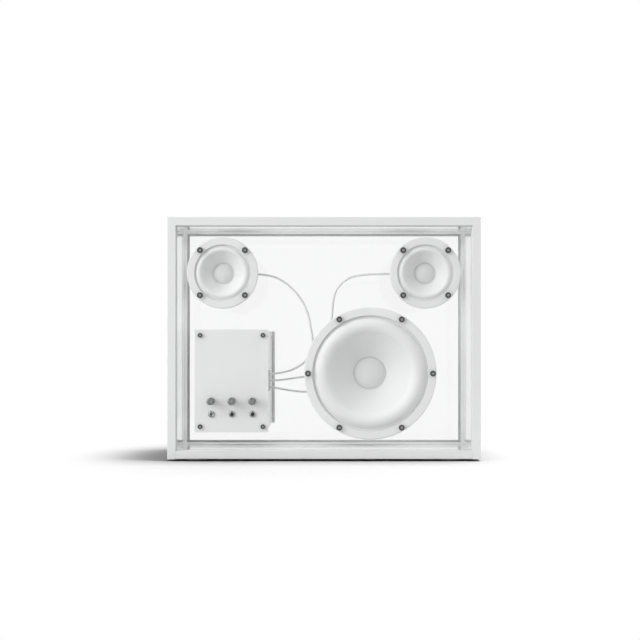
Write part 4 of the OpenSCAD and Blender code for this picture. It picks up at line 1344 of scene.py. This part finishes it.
@dataclass
class Studio:
    """The floor, the lamps and the camera."""

    distance: float = 1.58
    frame_width: float = 0.7671
    sensor: float = 36.0
    axis_px: Pair = (324.0, 338.1)
    image_px: float = 640.0
    aim: Point = (0.0, 0.0, 0.14)
    floor_half: float = 12.0
    floor_seen: float = 0.285
    floor_colour: float = 0.19
    floor_near: float = 0.195
    floor_far: float = 0.33
    world_level: float = 0.42
    world_rear: float = 0.75
    world_around: float = 0.9
    world_right: float = 0.6
    lamps: tuple[Lamp, ...] = (
        Lamp("key", (-2.0, -1.5, 0.9), 1.9, 33.0),
        Lamp("ceiling", (0.3, -0.08, 1.6), 0.6, 70.0, on_floor=True),
    )

    def build(self) -> None:
        """Makes the floor, the world, the lamps and the camera."""
        floor = self.add_floor()
        self.set_world()
        for lamp in self.lamps:
            self.add_lamp(lamp, floor)
        self.add_camera()
        bpy.context.scene.view_settings.view_transform = "Standard"

    def add_floor(self) -> Object:
        """A grey floor under the object that fades to even white for the rays that see it."""
        mesh = bpy.data.meshes.new("floor")
        half = self.floor_half
        corners = [(-half, -half, 0), (half, -half, 0), (half, half, 0), (-half, half, 0)]
        mesh.from_pydata(corners, [], [(0, 1, 2, 3)])
        floor = new_object("floor", mesh)
        material = bpy.data.materials.new("floor_white")
        graph = emptied(material)
        seen = self.seen(graph)
        level = seen * (self.floor_seen - self.floor_colour) + self.floor_colour
        paint = graph.node("ShaderNodeBsdfDiffuse", {"Color": level})
        distance = graph.value("ShaderNodeVectorMath", {0: graph.place()}, "Value", operation="LENGTH")
        stretch = {"Value": distance, "From Min": self.floor_near, "From Max": self.floor_far}
        fade = graph.value("ShaderNodeMapRange", stretch, interpolation_type="SMOOTHSTEP")
        white = graph.node("ShaderNodeEmission", {"Color": (1, 1, 1, 1), "Strength": 1.0})
        both = graph.node("ShaderNodeMixShader", {0: fade * seen, 1: paint, 2: white})
        graph.node("ShaderNodeOutputMaterial", {"Surface": both})
        mesh.materials.append(material)
        return floor

    @staticmethod
    def seen(graph: Graph) -> Value:
        """1 for a ray from the camera, a gloss or a clear surface, else 0."""
        path = graph.node("ShaderNodeLightPath")
        rays = [Value(graph, path.outputs[f"Is {kind} Ray"]) for kind in ("Camera", "Glossy", "Transmission")]
        return rays[0].math("MAXIMUM", rays[1]).math("MAXIMUM", rays[2])

    def set_world(self) -> None:
        """A pale light, stronger around and behind the object, and seen as even white."""
        world = bpy.data.worlds.new("studio")
        bpy.context.scene.world = world
        graph = emptied(world)
        right, rear, _ = graph.parts(graph.node("ShaderNodeTexCoord").outputs["Generated"])
        around = (1.0 - rear.math("ABSOLUTE")) * self.world_around
        behind = rear.math("MAXIMUM", 0.0) * (right * self.world_right + 1.0) * self.world_rear
        level = around + behind + self.world_level
        seen = self.seen(graph)
        strength = seen + (1.0 - seen) * level
        light = graph.node("ShaderNodeBackground", {"Color": (1, 1, 1, 1), "Strength": strength})
        graph.node("ShaderNodeOutputWorld", {"Surface": light})

    def add_lamp(self, lamp: Lamp, floor: Object) -> None:
        """Hangs a lamp that lights either the floor or everything else.

        Args:
            lamp: its place and power.
            floor: the floor.
        """
        light = bpy.data.lights.new(lamp.name, "AREA")
        light.size = lamp.size
        light.energy = lamp.power
        holder = new_object(lamp.name, light)
        holder.location = lamp.place
        way = Vector(self.aim) - Vector(lamp.place)
        holder.rotation_euler = way.to_track_quat("-Z", "Y").to_euler()
        lit = bpy.data.collections.new(f"{lamp.name}_lights")
        lit.objects.link(floor)
        lit.collection_objects[0].light_linking.link_state = "INCLUDE" if lamp.on_floor else "EXCLUDE"
        holder.light_linking.receiver_collection = lit

    def add_camera(self) -> None:
        """Sets the camera straight before the frame, as far away as its perspective says."""
        low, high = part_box("frame_left")
        camera = bpy.data.cameras.new("camera")
        camera.sensor_width = self.sensor
        camera.lens = self.sensor * self.distance / self.frame_width
        camera.shift_x = (self.image_px / 2 - self.axis_px[0]) / self.image_px
        camera.shift_y = (self.axis_px[1] - self.image_px / 2) / self.image_px
        holder = new_object("camera", camera)
        holder.location = (0.0, low.y - self.distance, (low.z + high.z) / 2)
        holder.rotation_euler = (math.radians(90), 0, 0)
        bpy.context.scene.camera = holder


SMALL = {
    "flange_z": 4.5, "screws": 4, "screw_start": 45.0, "waves": 3, "roll_w": 7.0, "surround_t": 0.45,
    "cone_t": 0.4, "roll_h": 3.0, "winding_h": 7.0,
}


def routes_of(large: DriveUnit, left: DriveUnit, right: DriveUnit) -> list[Route]:
    """The three leads' routes."""
    return [
        Route(
            "lead_left", left, row=1, reach=31.5, depth=22.25, turn=0.0,
            across=(
                (0.3, 40, -42), (0.55, 38, -38), (0.79, 36, -30), (0.94, 34, -18), (1, 32, -4),
                (0.96, 30, 12), (0.88, 29, 31), (0.71, 28, 49), (0.42, 27, 65), (0.07, 26, 75),
            ),
        ),
        Route(
            "lead_right", right, row=0, reach=31.5, depth=22.25, turn=180.0,
            across=((0.3, 40, -51), (0.57, 40, -49), (0.82, 40, -47), (1.02, 40, -42), (1.11, 40, -32)),
            beyond=(
                (-61, 39, -19), (-55, 38, -5), (-49, 37, 9), (-46, 36, 26), (-44, 33, 46),
                (-39, 30, 61), (-25, 28, 73), (-8, 27, 77), (12, 26, 78),
            ),
        ),
        Route(
            "lead_large", large, row=-1, reach=53.5, depth=39.25, turn=200.0,
            across=((0.32, 41, -63), (0.57, 42, -65), (0.82, 42, -66), (1.08, 43, -65)),
        ),
    ]


def main() -> None:
    """Builds the studio, then each sub-assembly in order."""
    logging.basicConfig(level=logging.INFO, format="%(name)s: %(message)s")
    Studio().build()
    Cabinet().build()
    large = DriveUnit(
        "large", flange_z=5.5, screws=6, screw_start=0.0, waves=5, roll_w=20.0, surround_t=0.6,
        cone_t=0.5, roll_h=7.0, winding_h=11.0, screw_inset=4.5,
    )
    left, right = (DriveUnit(name, **SMALL) for name in ("left", "right"))
    for unit in (large, left, right):
        unit.build()
    dress("driver_gaskets", SEAL)
    smooth_copy("driver_terminals", PLASTIC)
    smooth_copy("terminal_block", PLASTIC)
    Amplifier().build()
    Leads(large).build(routes_of(large, left, right))


if __name__ == "__main__":
    main()
